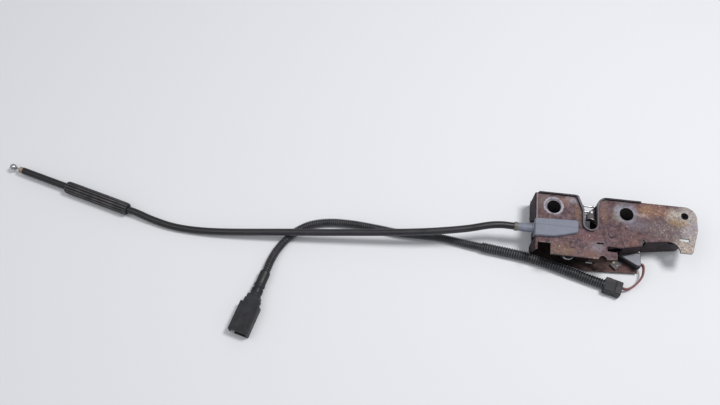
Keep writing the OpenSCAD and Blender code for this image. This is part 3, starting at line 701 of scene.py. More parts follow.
@dataclass(frozen=True)
class PaintedClip:
    """Dark clip with two dried specks of yellow-green marking paint on its head."""

    name: str = "painted_clip"
    specks: tuple[Point, ...] = ((0.0254, -0.0372, 0.0011), (0.0283, -0.0398, 0.0009))
    head_z: float = -24.0 * MM

    def material(self) -> Material:
        """Return the finish as a material.

        Returns:
            The material.
        """
        s = NodeSketch(self.name)
        blotch = s.noise(300, 4, 0.6)
        fray = s.fray(1.6 * MM, 900, 3, 0.6)
        paint: object = 0.0
        for x, y, reach in self.specks:
            away = s.math("ADD", s.distance((x, y)), fray)
            paint = s.most(paint, s.span(away, reach, 0.5 * reach))
        paint = s.times(paint, s.span(s.z, self.head_z - 0.5 * MM, self.head_z))
        colour = s.dab(tone(46, 42, 48), blotch, 0.4, 0.68, 1.0, (88, 72, 72))
        colour = s.mix(s.times(s.attribute("edge"), 0.6), colour, tone(116, 112, 130))
        colour = s.mix(paint, colour, tone(172, 168, 110))
        return s.finish(colour, 0.55, 0.0, paint, 0.1 * MM, 0.4)


class FinishRack:
    """Every finish of the latch, made once."""

    def __init__(self) -> None:
        """Make the materials."""
        self.rusted = RustedSheet().material()
        self.dark_sheet = RearSheet().material()
        self.bright = AgedSteel("bright_steel", (204, 204, 206), (128, 124, 120), rough=(0.24, 0.42),
                                metal=0.95, patch=500).material()
        self.leg = AgedSteel("bright_wire", (186, 186, 190), (140, 138, 140), rough=(0.28, 0.42),
                             metal=0.8, patch=400).material()
        # painted glints on the lever spring's coil and leg, as bright polished spots
        glints = (((-0.0195, -0.042, -0.0189), (-0.0085, -0.0372, -0.0155)),
                  ((0.0008, -0.042, -0.0219), (0.0068, -0.038, -0.0192)))
        self.spring = AgedSteel("spring_steel", (56, 56, 58), (16, 15, 16), rough=(0.18, 0.34), metal=0.9,
                                patch=150, worn=(226, 226, 230), painted_glints=glints).material()
        self.greasy = AgedSteel("greasy_steel", (66, 62, 66), (30, 28, 31), rough=(0.32, 0.55),
                                metal=0.6, patch=240).material()
        self.brass = AgedSteel("dull_brass", (180, 158, 140), (132, 110, 96), rough=(0.42, 0.6),
                               metal=0.4, patch=600).material()
        self.collar = AgedSteel("collar_alloy", (128, 120, 110), (92, 86, 82), rough=(0.45, 0.6),
                                metal=0.3, patch=500).material()
        self.housing = MouldedPlastic("grey_plastic", (104, 108, 123), (136, 139, 152), dust=0.55,
                                      seam_y=-18.8 * MM).material()
        self.cover = MouldedPlastic("pale_plastic", (116, 117, 127), (142, 141, 150), dust=0.5,
                                    shade=(0.39, -45.7 * MM)).material()
        self.black = MouldedPlastic("black_plastic", (29, 29, 33), (58, 58, 64), dust=0.55, rough=0.48,
                                    gloss=0.3).material()
        self.bush = MouldedPlastic("bush_plastic", (52, 50, 52), (84, 80, 76), dust=0.4).material()
        self.conduit = HoseSkin("conduit_skin", (24, 24, 27), (86, 86, 94), rough=0.44, wear_and_sheen=0.75).material()
        self.sheath = HoseSkin("sheath_skin", (26, 25, 29), (54, 52, 58), rough=0.4, wear_and_sheen=0.5).material()
        self.sleeve = HoseSkin("sleeve_rubber", (9, 9, 10), (88, 85, 89), rough=0.66, wear_and_sheen=1.0).material()
        self.wire = HoseSkin("red_wire", (122, 70, 70), (150, 98, 96), rough=0.45, wear_and_sheen=0.4).material()
        self.clip = PaintedClip().material()


def catmull(route: Sequence[Point], steps: int) -> list[Vector]:
    """Return a smooth line through a route.

    Args:
        route: Places in metres.
        steps: Points for each stretch between two places.

    Returns:
        The line's points.
    """
    spots = [Vector(p) for p in route]
    spots = [2 * spots[0] - spots[1], *spots, 2 * spots[-1] - spots[-2]]
    line: list[Vector] = []
    for p0, p1, p2, p3 in zip(spots, spots[1:], spots[2:], spots[3:]):
        for k in range(steps):
            t = k / steps
            line.append(0.5 * (2 * p1 + (p2 - p0) * t + (2 * p0 - 5 * p1 + 4 * p2 - p3) * t * t
                               + (3 * p1 - p0 - 3 * p2 + p3) * t ** 3))
    line.append(spots[-2])
    return line


def millimetres(*points: Point) -> tuple[Point, ...]:
    """Turn places in millimetres into metres."""
    return tuple((x * MM, y * MM, z * MM) for x, y, z in points)


def stand(name: str, data: bpy.types.ID) -> Thing:
    """Put an object with this data into the scene.

    Args:
        name: Name of the object.
        data: Its mesh, curve, lamp or camera.

    Returns:
        The object.
    """
    thing = bpy.data.objects.new(name, data)
    bpy.context.scene.collection.objects.link(thing)
    return thing


def plain_mesh(thing: Thing) -> Mesh:
    """Return what an object's modifiers make, as a mesh of its own."""
    graph = bpy.context.evaluated_depsgraph_get()
    return bpy.data.meshes.new_from_object(thing.evaluated_get(graph))


def weld(mesh: Mesh) -> None:
    """Merge doubles and turn the faces of a mesh outwards.

    Args:
        mesh: The mesh, changed in place.
    """
    work = bmesh.new()
    work.from_mesh(mesh)
    bmesh.ops.remove_doubles(work, verts=work.verts, dist=1e-7)
    bmesh.ops.recalc_face_normals(work, faces=work.faces)
    work.to_mesh(mesh)
    work.free()


class ShapeTree(Sketch):
    """A Geometry Nodes tree with named inputs that ends in a real, dressed mesh."""

    NAME = ""
    SIZES: dict[str, str] = {}

    def __init__(self) -> None:
        """Build the tree with its named inputs."""
        super().__init__(bpy.data.node_groups.new(self.NAME, "GeometryNodeTree"))
        face = self.tree.interface
        face.new_socket("Geometry", in_out="INPUT", socket_type="NodeSocketGeometry")
        self.inputs = {
            label: face.new_socket(label, in_out="INPUT", socket_type="NodeSocket" + kind).identifier
            for label, kind in (*self.SIZES.items(), ("Finish", "Material"))}
        face.new_socket("Geometry", in_out="OUTPUT", socket_type="NodeSocketGeometry")
        given = self.add("NodeGroupInput").outputs
        real = self.add("GeometryNodeRealizeInstances", {"Geometry": self.wire(given)})
        dress = self.add("GeometryNodeSetMaterial", {"Geometry": real.outputs["Geometry"],
                                                     "Material": given["Finish"]})
        self.add("NodeGroupOutput", {0: dress.outputs["Geometry"]})

    def wire(self, given: bpy.types.NodeOutputs) -> Socket:
        """Wire the shape from the given inputs and return its geometry."""
        raise NotImplementedError

    def mark(self, geometry: Socket, crest: Socket) -> Socket:
        """Store the crests of the ribs on the points, for the finish to read.

        Args:
            geometry: The curve or mesh.
            crest: 1 on a crest, 0 in a groove.

        Returns:
            The geometry with its crests.
        """
        inputs = {"Geometry": geometry, "Name": "crest", "Value": crest}
        node = self.add("GeometryNodeStoreNamedAttribute", inputs, data_type="FLOAT", domain="POINT")
        return node.outputs["Geometry"]

    def make(self, source: Thing, values: dict[str, object]) -> Mesh:
        """Return what the tree makes of an object.

        Args:
            source: The object; it keeps no modifier.
            values: The tree's inputs, by name.

        Returns:
            The new mesh.
        """
        modifier = source.modifiers.new(self.NAME, "NODES")
        modifier.node_group = self.tree
        for label, value in values.items():
            modifier[self.inputs[label]] = value
        mesh = plain_mesh(source)
        source.modifiers.remove(modifier)
        return mesh


class HoseTree(ShapeTree):
    """Sweeps a ribbed or plain tube along a line."""

    NAME = "ribbed_hose"
    SIZES = {"Radius": "Float", "Rib Depth": "Float", "Rib Pitch": "Float", "Step": "Float", "Sides": "Int"}

    def wire(self, given: bpy.types.NodeOutputs) -> Socket:
        """Step along the line, rib it by its length and sweep a ring along it.

        Args:
            given: The tree's inputs.

        Returns:
            The tube.
        """
        line = self.add("GeometryNodeResampleCurve", {"Curve": given["Geometry"], "Length": given["Step"]},
                        mode="LENGTH").outputs["Curve"]
        length = self.add("GeometryNodeSplineParameter").outputs["Length"]
        turn = self.times(self.math("DIVIDE", length, given["Rib Pitch"]), math.tau)
        wave = self.math("MULTIPLY_ADD", self.math("SINE", turn), 0.9, 0.5)
        crest = self.add("ShaderNodeClamp", {"Value": wave}).outputs["Result"]
        sunk = self.times(self.math("SUBTRACT", 1.0, crest), given["Rib Depth"])
        ring = self.add("GeometryNodeCurvePrimitiveCircle", {"Resolution": given["Sides"], "Radius": 1.0})
        sweep = self.add("GeometryNodeCurveToMesh", {
            "Curve": self.mark(line, crest), "Profile Curve": ring.outputs["Curve"], "Fill Caps": True,
            "Scale": self.math("SUBTRACT", given["Radius"], sunk)})
        smooth = self.add("GeometryNodeSetShadeSmooth", {"Geometry": sweep.outputs["Mesh"]})
        return smooth.outputs["Geometry"]

    def sweep(self, name: str, line: Sequence[Vector], radius: float, finish: Material, step: float,
              sides: int, rib_depth: float = 0.0, rib_pitch: float = 2 * MM) -> Thing:
        """Sweep a tube and return it as a plain mesh object.

        Args:
            name: Name of the piece.
            line: Centre line, in metres.
            radius: Outer radius.
            finish: Material.
            step: Distance between rings.
            sides: Points round each ring.
            rib_depth: Depth of the grooves between ribs.
            rib_pitch: Distance from rib to rib.

        Returns:
            The tube.
        """
        curve = bpy.data.curves.new(name + "_line", "CURVE")
        curve.dimensions = "3D"
        spline = curve.splines.new("POLY")
        spline.points.add(len(line) - 1)
        for spot, place in zip(spline.points, line):
            spot.co = (*place, 1.0)
        guide = stand(name + "_guide", curve)
        mesh = self.make(guide, {"Radius": radius, "Rib Depth": rib_depth, "Rib Pitch": rib_pitch,
                                 "Step": step, "Sides": sides, "Finish": finish})
        bpy.data.objects.remove(guide)
        weld(mesh)
        return stand(name, mesh)


class FluteTree(ShapeTree):
    """Cuts lengthwise flutes into a piece turned about Z."""

    NAME = "fluted_sleeve"
    SIZES = {"Radius": "Float", "Core": "Float", "Rib Depth": "Float", "Ribs": "Int"}
    STEEP = 3.0  # how steeply a rib's flanks rise
    BROAD = 1.6  # how far the ribs are broader than the grooves

    def wire(self, given: bpy.types.NodeOutputs) -> Socket:
        """Find the crests from the angle round Z and sink the points between them, outside the core.

        Args:
            given: The tree's inputs.

        Returns:
            The fluted piece.
        """
        spot = self.add("GeometryNodeInputPosition").outputs["Position"]
        x, y, z = self.add("ShaderNodeSeparateXYZ", {"Vector": spot}).outputs
        reach = self.math("SQRT", self.math("MULTIPLY_ADD", x, x, self.times(y, y)))
        outer = self.math("GREATER_THAN", reach, given["Core"])
        wave = self.math("COSINE", self.times(self.math("ARCTAN2", y, x), given["Ribs"]))
        rise = self.math("TANH", self.math("MULTIPLY_ADD", wave, self.STEEP, self.BROAD))
        crest = self.math("MULTIPLY_ADD", rise, 0.5, 0.5)
        depth = self.times(outer, self.math("DIVIDE", given["Rib Depth"], given["Radius"]))
        left = self.math("SUBTRACT", 1.0, self.times(depth, self.math("SUBTRACT", 1.0, crest)))
        sunk = self.add("ShaderNodeCombineXYZ", {"X": self.times(x, left), "Y": self.times(y, left), "Z": z})
        marked = self.mark(given["Geometry"], self.times(outer, crest))
        moved = self.add("GeometryNodeSetPosition", {"Geometry": marked, "Position": sunk.outputs["Vector"]})
        return moved.outputs["Geometry"]


def seat(piece: Thing, body: Body, slot: Slot, *nodes: str) -> Thing:
    """Make a piece ride on a body and stand for CAD nodes, which are hidden.

    Args:
        piece: The piece.
        body: Body that carries it.
        slot: Slot; not used.
        *nodes: CAD nodes that it stands for.

    Returns:
        The piece.
    """
    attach(piece, body.value)
    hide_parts(*nodes)
    LOG.info("%s rides on %s", piece.name, body.value)
    return piece


def mark_faces(mesh: Mesh, name: str, test: Callable[[bpy.types.MeshPolygon], bool]) -> None:
    """Store on each face whether it passes a test, for the materials to read."""
    marks = mesh.attributes.new(name, "FLOAT", "FACE")
    marks.data.foreach_set("value", [float(test(face)) for face in mesh.polygons])


@dataclass(frozen=True)
class Skin:
    """A clean copy of a CAD node with softened edges.

    Edges that meet one shorter than crowd stay sharp; without crowd, the rounding narrows for all.
    """

    node: str
    finish: Material
    body: Body
    slot: Slot
    edge: float = 0.3 * MM
    segments: int = 2
    crowd: Optional[float] = None

    DOUBLE = 2e-6  # CAD vertices nearer than this are one
    SLIVER = 5e-5  # and after the flats are joined, nearer than this
    FLAT = math.radians(0.6)  # faces that meet at less are one flat
    CORNER = math.radians(34)  # edges that turn by more are rounded
    CREASE = math.radians(32)  # edges that still turn by more are shaded sharp
    UPRIGHT = 0.1  # a wall's normal rises by less
    DIRT_AND_SHADE_ABOVE = 0.75 * MM  # dirt and painted shade darken upright faces above the front face,
    DIRT_AND_SHADE_SLOPE = 0.75  # where the normal rises by less

    def close_seams(self, work: bmesh.types.BMesh) -> bmesh.types.BMLayerItem:
        """Take out walls that lie back to back inside a mesh, where two halves of a solid only touch.

        Args:
            work: The mesh, with its doubles merged.

        Returns:
            A layer that marks the vertices of such seams.
        """
        marks = work.verts.layers.int.new("seam")
        knots = {vert for edge in work.edges if len(edge.link_faces) > 2 for vert in edge.verts}
        for vert in knots:
            vert[marks] = 1
        inner = [face for face in work.faces
                 if abs(face.normal.z) < self.UPRIGHT and knots.issuperset(face.verts)]
        bmesh.ops.delete(work, geom=inner, context="FACES")
        return marks

    def soften(self, work: bmesh.types.BMesh, seam: bmesh.types.BMLayerItem) -> None:
        """Round the sharp edges of a mesh; the new faces take material 1.

        Args:
            work: The mesh.
            seam: Layer that marks the vertices of closed seams.
        """
        short = self.crowd or 0.0
        tight = {vert for edge in work.edges if edge.calc_length() < short for vert in edge.verts}

        def rounds(edge: bmesh.types.BMEdge) -> bool:
            """Tell whether an edge is rounded.

            Args:
                edge: An edge of the mesh.

            Returns:
                Whether it is sharp enough and has room.
            """
            if len(edge.link_faces) != 2 or edge.calc_face_angle() < self.CORNER:
                return False
            rise = abs(edge.verts[0].co.z - edge.verts[1].co.z)
            upright = rise > 0.5 * edge.calc_length()
            return not (tight.intersection(edge.verts) or upright and any(vert[seam] for vert in edge.verts))

        bmesh.ops.bevel(work, geom=[edge for edge in work.edges if rounds(edge)], offset=self.edge,
                        offset_type="OFFSET", segments=self.segments, profile=0.5, affect="EDGES",
                        clamp_overlap=self.crowd is None, material=1)

    def copy(self) -> Mesh:
        """Return the node's mesh, merged and softened.

        Softened edges are marked as "edge", and upright faces of the raised rim and rivet heads as
        "dirt_and_painted_shade", which the finish darkens for dirt and painted shade.

        Returns:
            The mesh.
        """
        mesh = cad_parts[self.node].data.copy()
        work = bmesh.new()
        work.from_mesh(mesh)
        bmesh.ops.remove_doubles(work, verts=work.verts, dist=self.DOUBLE)
        seam = self.close_seams(work)
        bmesh.ops.dissolve_limit(work, angle_limit=self.FLAT, verts=work.verts, edges=work.edges,
                                 use_dissolve_boundaries=False, delimit=set())
        bmesh.ops.remove_doubles(work, verts=work.verts, dist=self.SLIVER)
        for face in work.faces:
            face.material_index = 0
        self.soften(work, seam)
        work.to_mesh(mesh)
        work.free()
        mark_faces(mesh, "edge", lambda face: face.material_index == 1)
        # faces that the finish darkens for dirt and painted shade
        mark_faces(mesh, "dirt_and_painted_shade", lambda face: (face.center.z > self.DIRT_AND_SHADE_ABOVE
                                               and abs(face.normal.z) < self.DIRT_AND_SHADE_SLOPE))
        mesh.materials.clear()
        mesh.materials.append(self.finish)
        mesh.polygons.foreach_set("material_index", [0] * len(mesh.polygons))
        mesh.shade_smooth()
        mesh.set_sharp_from_angle(angle=self.CREASE)
        return mesh

    def build(self) -> Thing:
        """Build the copy with even normals and seat it in the node's place.

        Returns:
            The copy.
        """
        piece = stand(self.node + "_skin", self.copy())
        even = piece.modifiers.new("even_normals", "WEIGHTED_NORMAL")
        even.weight = 100
        even.keep_sharp = True
        finished = plain_mesh(piece)
        piece.modifiers.remove(even)
        piece.data = finished
        return seat(piece, self.body, self.slot, self.node)


def lathe(name: str, profile: Sequence[Pair], place: Matrix, finish: Material, sides: int,
          closed: bool = False) -> Thing:
    """Turn a profile about its axis.

    Args:
        name: Name of the piece.
        profile: Pairs of radius and height, from the first end to the last.
        place: Where the axis stands; the profile's height runs along its Z.
        finish: Material.
        sides: Facets round the axis.
        closed: Whether the last pair joins the first one, as round a bore.

    Returns:
        The turned piece.
    """
    work = bmesh.new()
    turns = [math.tau * k / sides for k in range(sides)]
    rings = [[work.verts.new(place @ Vector((radius * math.cos(turn), radius * math.sin(turn), height)))
              for turn in turns] for radius, height in profile]
    for low, high in zip(rings, [*rings[1:], rings[0]] if closed else rings[1:]):
        for k in range(sides):
            work.faces.new((low[k], low[(k + 1) % sides], high[(k + 1) % sides], high[k]))
    if not closed:
        work.faces.new(rings[0][::-1])
        work.faces.new(rings[-1])
    mesh = bpy.data.meshes.new(name)
    work.to_mesh(mesh)
    work.free()
    weld(mesh)
    mesh.materials.append(finish)
    mesh.shade_smooth()
    mesh.set_sharp_from_angle(angle=math.radians(40))
    return stand(name, mesh)


@dataclass
class SheetCase:
    """The two folded sheets, the rivets that hold them together and the spring post."""

    rack: FinishRack
    sheet_edge: float = 0.22 * MM
    rivet_edge: float = 0.35 * MM
    crowd: float = 0.2 * MM

    def build(self) -> None:
        """Build and dress the case."""
        rack = self.rack
        for node, finish, slot in (("front_plate", rack.rusted, Slot.RUSTED_SHEET),
                                   ("rear_plate", rack.dark_sheet, Slot.DARK_SHEET)):
            Skin(node, finish, Body.CASE, slot, self.sheet_edge, crowd=self.crowd).build()
        for node in ("hook_rivet", "lever_rivet"):
            Skin(node, rack.rusted, Body.CASE, Slot.RUSTED_SHEET, self.rivet_edge).build()
        Skin("spring_post", rack.greasy, Body.CASE, Slot.GREASED_STEEL).build()


@dataclass(frozen=True)
class Coil:
    """A torsion spring: a coil about Z with two straight legs, in millimetres."""

    centre: Pair
    radius: float
    wire_r: float
    start_angle: float
    turns: float
    start_z: float
    end_z: float
    lead_in: tuple[Point, ...]
    lead_out: tuple[Point, ...]
    steps_in_turn: int = 40

    def line(self) -> list[Vector]:
        """Return the spring's centre line, in metres.

        Returns:
            The line's points.
        """
        steps = int(abs(self.turns) * self.steps_in_turn)
        coil = []
        for k in range(steps + 1):
            angle = math.radians(self.start_angle) + math.tau * self.turns * k / steps
            coil.append((self.centre[0] + self.radius * math.cos(angle),
                         self.centre[1] + self.radius * math.sin(angle),
                         self.start_z + (self.end_z - self.start_z) * k / steps))
        return [Vector(p) for p in millimetres(*self.lead_in, *coil, *self.lead_out)]

    def build(self, hose: HoseTree, node: str, finish: Material, body: Body, sides: int) -> None:
        """Build the spring between the case and a moving body, as one fixed mesh.

        Args:
            hose: Tree that sweeps the wire.
            node: CAD node that it stands for.
            finish: Material.
            body: Body at its moving end.
            sides: Points round the wire.
        """
        wire = hose.sweep(node + "_wire", self.line(), self.wire_r * MM, finish, 0.8 * MM, sides)
        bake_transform(wire)
        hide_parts(node)
        LOG.info("%s twists between %s and %s", wire.name, Body.CASE.value, body.value)


@dataclass
class CatchHook:
    """The hook on its bush, its spring pin and its closing spring."""

    rack: FinishRack
    hose: HoseTree
    hook_edge: float = 0.4 * MM
    spring: Coil = Coil((-14.0, 7.25), radius=4.05, wire_r=0.9, start_angle=90.0, turns=2.5,
                        start_z=-15.5, end_z=-10.5,
                        lead_in=((18.0, 11.3, -15.5), (4.0, 11.3, -15.5), (-10.0, 11.3, -15.5)),
                        lead_out=((-10.0, 3.2, -10.5), (0.0, 3.2, -10.5), (15.0, 3.2, -10.5)))

    def build(self) -> None:
        """Build and dress the hook."""
        rack = self.rack
        Skin("catch_hook", rack.greasy, Body.HOOK, Slot.GREASED_STEEL, self.hook_edge, crowd=0.0).build()
        Skin("hook_bush", rack.bush, Body.HOOK, Slot.BLACK_PLASTIC).build()
        Skin("hook_spring_pin", rack.bright, Body.HOOK, Slot.BRIGHT_STEEL).build()
        self.spring.build(self.hose, "hook_spring", rack.leg, Body.HOOK_SPRING, 14)


@dataclass
class ReleaseLever:
    """The lever between the cable and the hook, with its bush and return spring."""

    rack: FinishRack
    hose: HoseTree
    lever_edge: float = 0.35 * MM
    spring: Coil = Coil((-15.3, -34.5), radius=5.55, wire_r=0.75, start_angle=-90.0, turns=-3.25,
                        start_z=-20.5, end_z=-10.0,
                        lead_in=((9.0, -40.05, -20.5), (-2.0, -40.05, -20.5), (-10.0, -40.05, -20.5)),
                        lead_out=((-20.85, -31.5, -10.0), (-20.85, -27.0, -10.0), (-20.85, -26.2, -9.0),
                                  (-20.85, -25.4, -6.1)))

    def build(self) -> None:
        """Build and dress the lever."""
        rack = self.rack
        Skin("release_lever", rack.greasy, Body.LEVER, Slot.GREASED_STEEL, self.lever_edge, crowd=0.0).build()
        Skin("lever_bush", rack.bush, Body.LEVER, Slot.BLACK_PLASTIC).build()
        self.spring.build(self.hose, "lever_spring", rack.spring, Body.LEVER, 12)


@dataclass
class PullCable:
    """The cable from its housing on the case to its ball end."""

    rack: FinishRack
    hose: HoseTree
    sheath_d: float = 6.2 * MM
    sleeve_r: float = 5.64 * MM
    sleeve_gap: float = 0.05 * MM
    ribs: int = 14
    rib_depth: float = 0.95 * MM
    ball_r: float = 3.1 * MM
    ball_at: float = 10.7 * MM
    ball_wire_r: float = 0.8 * MM
    stub: float = 9.0 * MM
    route: tuple[Point, ...] = millimetres(
        (-64, -20.5, -4), (-75, -20.5, -4), (-86, -22.2, -4.3), (-102, -26.4, -5.4), (-122, -30.2, -6.8),
        (-146, -33.6, -8.6), (-176, -36.6, -11), (-206, -39.2, -13.2), (-234, -41.6, -15.2),
        (-256, -43.3, -16.6), (-280, -45.2, -18.6), (-304, -46.9, -21), (-326, -47.9, -23.2),
        (-346, -47.8, -24.5), (-364, -46.2, -24.5), (-382, -42.2, -23.6), (-394, -38.58, -22.5),
        (-404, -36, -22.2), (-424, -30.83, -22.2), (-444, -25.67, -22.2), (-464, -20.5, -22.2),
        (-486, -14.82, -22.2), (-508, -9.13, -22.2))
    sleeve_span: tuple[Point, ...] = millimetres((-404, -36, -22.2), (-464, -20.5, -22.2))
    sleeve_end: tuple[Pair, ...] = ((0.0, 0.86), (0.4 * MM, 0.92), (1.2 * MM, 0.97), (3 * MM, 1.0))

    def end_frame(self, origin: Point) -> Matrix:
        """Return a frame on the cable's straight end, with Z outwards."""
        way = (Vector(self.sleeve_span[1]) - Vector(self.sleeve_span[0])).normalized()
        return Matrix.Translation(origin) @ way.to_track_quat("Z", "Y").to_matrix().to_4x4()

    def ribbed_sleeve(self) -> Thing:
        """Return the rubber sleeve with its lengthwise ribs.

        Returns:
            The sleeve.
        """
        length = (Vector(self.sleeve_span[1]) - Vector(self.sleeve_span[0])).length
        bore = self.sheath_d / 2 + self.sleeve_gap
        rings = 16
        outside = [*self.sleeve_end, *((length * k / rings, 1.0) for k in range(1, rings)),
                   *((length - height, share) for height, share in reversed(self.sleeve_end))]
        outline = [*((self.sleeve_r * share, height) for height, share in outside),
                   (bore, length), (bore, 0.0)]
        piece = lathe("sleeve_ribs", outline, Matrix(), self.rack.sleeve, self.ribs * 12, closed=True)
        mesh = FluteTree().make(piece, {"Radius": self.sleeve_r, "Core": bore + 0.5 * MM, "Ribs": self.ribs,
                                        "Rib Depth": self.rib_depth, "Finish": self.rack.sleeve})
        mesh.transform(self.end_frame(self.sleeve_span[0]))
        mesh.shade_smooth()
        mesh.set_sharp_from_angle(angle=math.radians(45))
        piece.data = mesh
        return piece

    def ball(self) -> Thing:
        """Return the ball end with its stub of wire.

        Returns:
            The ball end.
        """
        wire, step = self.ball_wire_r, 0.2 * MM
        collar = wire + 0.5 * MM
        arc = [(self.ball_r * math.sin(turn), self.ball_at - self.ball_r * math.cos(turn))
               for turn in map(math.radians, range(30, 176, 8))]
        neck = self.ball_at - self.ball_r - 0.6 * MM
        profile = [(wire * 0.7, -self.stub), (wire, -self.stub + step), (wire, neck), (collar, neck + step),
                   (collar, arc[0][1]), *arc, (0.0001 * MM, self.ball_at + self.ball_r)]
        return lathe("ball_end_turned", profile, self.end_frame(self.route[-1]), self.rack.bright, 32)

    def build(self) -> None:
        """Build and dress the cable."""
        rack = self.rack
        Skin("cable_housing", rack.housing, Body.CASE, Slot.GREY_PLASTIC, 0.5 * MM, segments=3).build()
        Skin("nose_collar", rack.collar, Body.CASE, Slot.TAN_BRASS, 0.4 * MM).build()
        Skin("inner_wire", rack.bright, Body.WIRE, Slot.BRIGHT_STEEL, 0.1 * MM).build()
        Skin("wire_nipple", rack.bright, Body.WIRE, Slot.BRIGHT_STEEL, 0.4 * MM).build()
        sleeve = seat(self.ribbed_sleeve(), Body.CASE, Slot.BLACK_RUBBER, "ribbed_sleeve")
        ferrule = Skin("cable_ferrule", rack.brass, Body.CASE, Slot.TAN_BRASS).build()
        ball = seat(self.ball(), Body.BALL, Slot.BRIGHT_STEEL, "ball_end")
        line = catmull(self.route, 10)
        sheath = self.hose.sweep("cable_sheath_tube", line, self.sheath_d / 2, rack.sheath, 2 * MM, 20)
        seat(sheath, Body.CASE, Slot.BLACK_RUBBER, "cable_sheath")


@dataclass
class SwitchLead:
    """The contact switch, its two wires, the conduits and the connector."""

    rack: FinishRack
    hose: HoseTree
    wire_d: float = 1.6 * MM
    wide_d: float = 9.0 * MM
    narrow_d: float = 7.2 * MM
    wire_step: Point = (0.0, 0.0, -2 * MM)
    wire_route: tuple[Point, ...] = millimetres(
        (47, -37.4, -18), (48.9, -37.5, -18), (50.1, -39.3, -18.4), (50.3, -42.5, -19.1), (49.6, -46.6, -20),
        (47.6, -50.6, -21), (44.6, -54.2, -21.8), (41, -57.2, -22.3), (37.8, -59.1, -22.5),
        (35.2, -59.66, -22.5), (33.7, -59.25, -22.5), (32.15, -58.84, -22.5))
    wide_route: tuple[Point, ...] = millimetres(
        (17.5, -57.5, -23.5), (11.7, -55.95, -23.5), (5.9, -54.4, -23.5), (-7, -50.7, -23.5),
        (-20, -47, -23.5), (-35, -42.9, -23.5), (-50, -39.8, -23.5), (-66, -37.6, -23.5),
        (-78, -36.2, -23.5), (-88, -35, -23.5))
    narrow_route: tuple[Point, ...] = millimetres(
        (-88, -35, -23.5), (-98, -33.8, -24), (-110, -31.9, -24.4), (-126, -30, -24.4), (-144, -29.8, -24.4),
        (-162, -29.6, -24.4), (-182, -27.6, -24.4), (-204, -26, -24.4), (-224, -26.8, -24.4),
        (-240, -31, -24.4), (-251.5, -38.5, -24.4), (-260, -48.5, -24.4), (-266, -59, -24.2),
        (-269.5, -69, -23.3), (-270.79, -75.65, -22.5), (-272, -80.5, -22.5))

    def switch(self) -> None:
        """Build the switch on the rear sheet."""
        rack = self.rack
        Skin("switch_body", rack.black, Body.CASE, Slot.BLACK_PLASTIC, 0.15 * MM, crowd=0.2 * MM).build()
        Skin("switch_cover", rack.cover, Body.CASE, Slot.PALE_PLASTIC, 0.4 * MM).build()
        Skin("switch_clip", rack.clip, Body.CASE, Slot.BLACK_PLASTIC, 0.4 * MM, crowd=0.0).build()
        Skin("switch_lever", rack.bright, Body.LEAF, Slot.BRIGHT_STEEL, 0.12 * MM).build()
        Skin("switch_button", rack.black, Body.BUTTON, Slot.BLACK_PLASTIC).build()

    def wires(self) -> None:
        """Build the two wires from the switch to the conduit's cap."""
        rack = self.rack
        cap = Skin("conduit_cap", rack.black, Body.CASE, Slot.BLACK_PLASTIC, 0.25 * MM, segments=3,
                   crowd=0.0).build()
        for index, node in enumerate(("lead_wire_a", "lead_wire_b")):
            route = [tuple(a + index * b for a, b in zip(p, self.wire_step)) for p in self.wire_route]
            line = catmull(route, 10)
            wire = self.hose.sweep(node + "_tube", line, self.wire_d / 2, rack.wire, 0.8 * MM, 14)
            seat(wire, Body.CASE, Slot.RED_WIRE, node)

    def conduits(self) -> None:
        """Build the wide and narrow corrugated conduits and the connector."""
        rack = self.rack
        line = catmull(self.wide_route, 12)
        wide = self.hose.sweep("wide_conduit_tube", line, self.wide_d / 2, rack.conduit, 0.22 * MM, 28,
                               rib_depth=0.75 * MM, rib_pitch=2.15 * MM)
        seat(wide, Body.CASE, Slot.BLACK_PLASTIC, "wide_conduit")
        rows = (("conduit_clamp", rack.sheath, Slot.BLACK_RUBBER),
                ("connector_boot", rack.black, Slot.BLACK_PLASTIC),
                ("connector_housing", rack.black, Slot.BLACK_PLASTIC),
                ("connector_pins", rack.brass, Slot.TAN_BRASS))
        pieces = [Skin(node, finish, Body.CASE, slot, 0.25 * MM, crowd=0.0).build()
                  for node, finish, slot in rows]
        line = catmull(self.narrow_route, 12)
        narrow = self.hose.sweep("narrow_conduit_tube", line, self.narrow_d / 2, rack.conduit, 0.2 * MM, 24,
                                 rib_depth=0.6 * MM, rib_pitch=1.9 * MM)
        seat(narrow, Body.CASE, Slot.BLACK_PLASTIC, "narrow_conduit")

    def build(self) -> None:
        """Build and dress the switch and its lead."""
        self.switch()
        self.wires()
        self.conduits()


@dataclass(frozen=True)
class Lamp:
    """A soft square lamp: where it hangs and points, its side and its watts."""

    name: str
    place: Point
    target: Point
    size: float
    power: float

    def hang(self) -> None:
        """Hang the lamp."""
        light = bpy.data.lights.new(self.name, "AREA")
        light.energy = self.power
        light.size = self.size
        lamp = stand(self.name, light)
        lamp.location = self.place
        lamp.rotation_euler = (Vector(self.target) - Vector(self.place)).to_track_quat("-Z", "Y").to_euler()


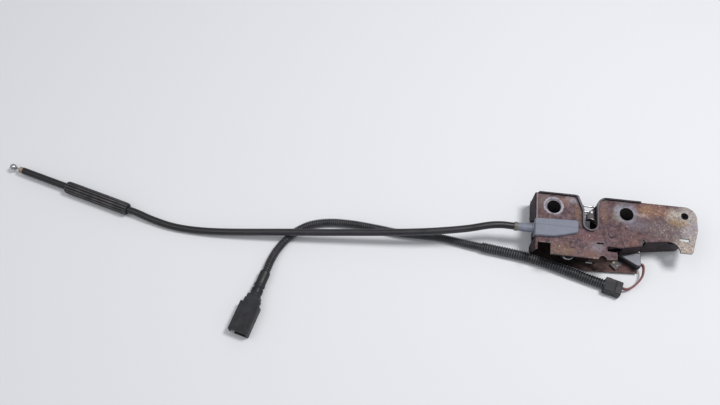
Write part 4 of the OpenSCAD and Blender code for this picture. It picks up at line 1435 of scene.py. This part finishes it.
@dataclass
class Studio:
    """Pale floor, soft light and the camera."""

    floor_z: float = -28.0 * MM
    floor_half: float = 6.0
    floor_tone: Rgb = (226, 227, 230)
    sky: tuple[float, ...] = (0.93, 0.95, 1.0, 1.0)
    sky_strength: float = 0.36
    lamps: tuple[Lamp, ...] = (Lamp("key", (0.33, 0.16, 1.15), (-0.12, -0.03, 0.0), 0.3, 10.0),
                               Lamp("fill", (-0.7, -0.2, 1.1), (-0.2, -0.03, 0.0), 1.0, 3.6))
    eye: Point = (-0.165, -0.296, 0.605)
    right: Point = (0.9933, 0.1159, 0.0)
    forward: Point = (-0.049, 0.420, -0.906)
    lens: float = 38.6

    def floor(self) -> None:
        """Lay the floor."""
        mesh = bpy.data.meshes.new("floor")
        half, z = self.floor_half, self.floor_z
        mesh.from_pydata([(-half, -half, z), (half, -half, z), (half, half, z), (-half, half, z)], [],
                         [(0, 1, 2, 3)])
        mesh.materials.append(NodeSketch("pale_floor").finish(tone(*self.floor_tone), 0.7))
        stand("floor", mesh)

    def camera(self) -> None:
        """Set up the camera at the photograph's viewing angle."""
        data = bpy.data.cameras.new("camera")
        data.sensor_width = 36.0
        data.lens = self.lens
        data.clip_start = 0.01
        back = -Vector(self.forward).normalized()
        right = Vector(self.right)
        right = (right - back * right.dot(back)).normalized()
        turn = Matrix((right, back.cross(right), back)).transposed().to_4x4()
        camera = stand("camera", data)
        camera.matrix_world = Matrix.Translation(self.eye) @ turn
        bpy.context.scene.camera = camera

    def build(self) -> None:
        """Build the studio."""
        scene = bpy.context.scene
        scene.view_settings.view_transform = "Standard"
        scene.world = bpy.data.worlds.new("studio")
        scene.world.use_nodes = True
        sky = scene.world.node_tree.nodes["Background"].inputs
        sky["Color"].default_value = self.sky
        sky["Strength"].default_value = self.sky_strength
        self.floor()
        for lamp in self.lamps:
            lamp.hang()
        self.camera()


def main() -> None:
    logging.basicConfig(level=logging.INFO, format="%(message)s")
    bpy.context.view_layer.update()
    rack = FinishRack()
    hose = HoseTree()
    Studio().build()
    for part in (SheetCase(rack), CatchHook(rack, hose), ReleaseLever(rack, hose), PullCable(rack, hose),
                 SwitchLead(rack, hose)):
        LOG.info("building %s", type(part).__name__)
        part.build()


if __name__ == "__main__":
    main()
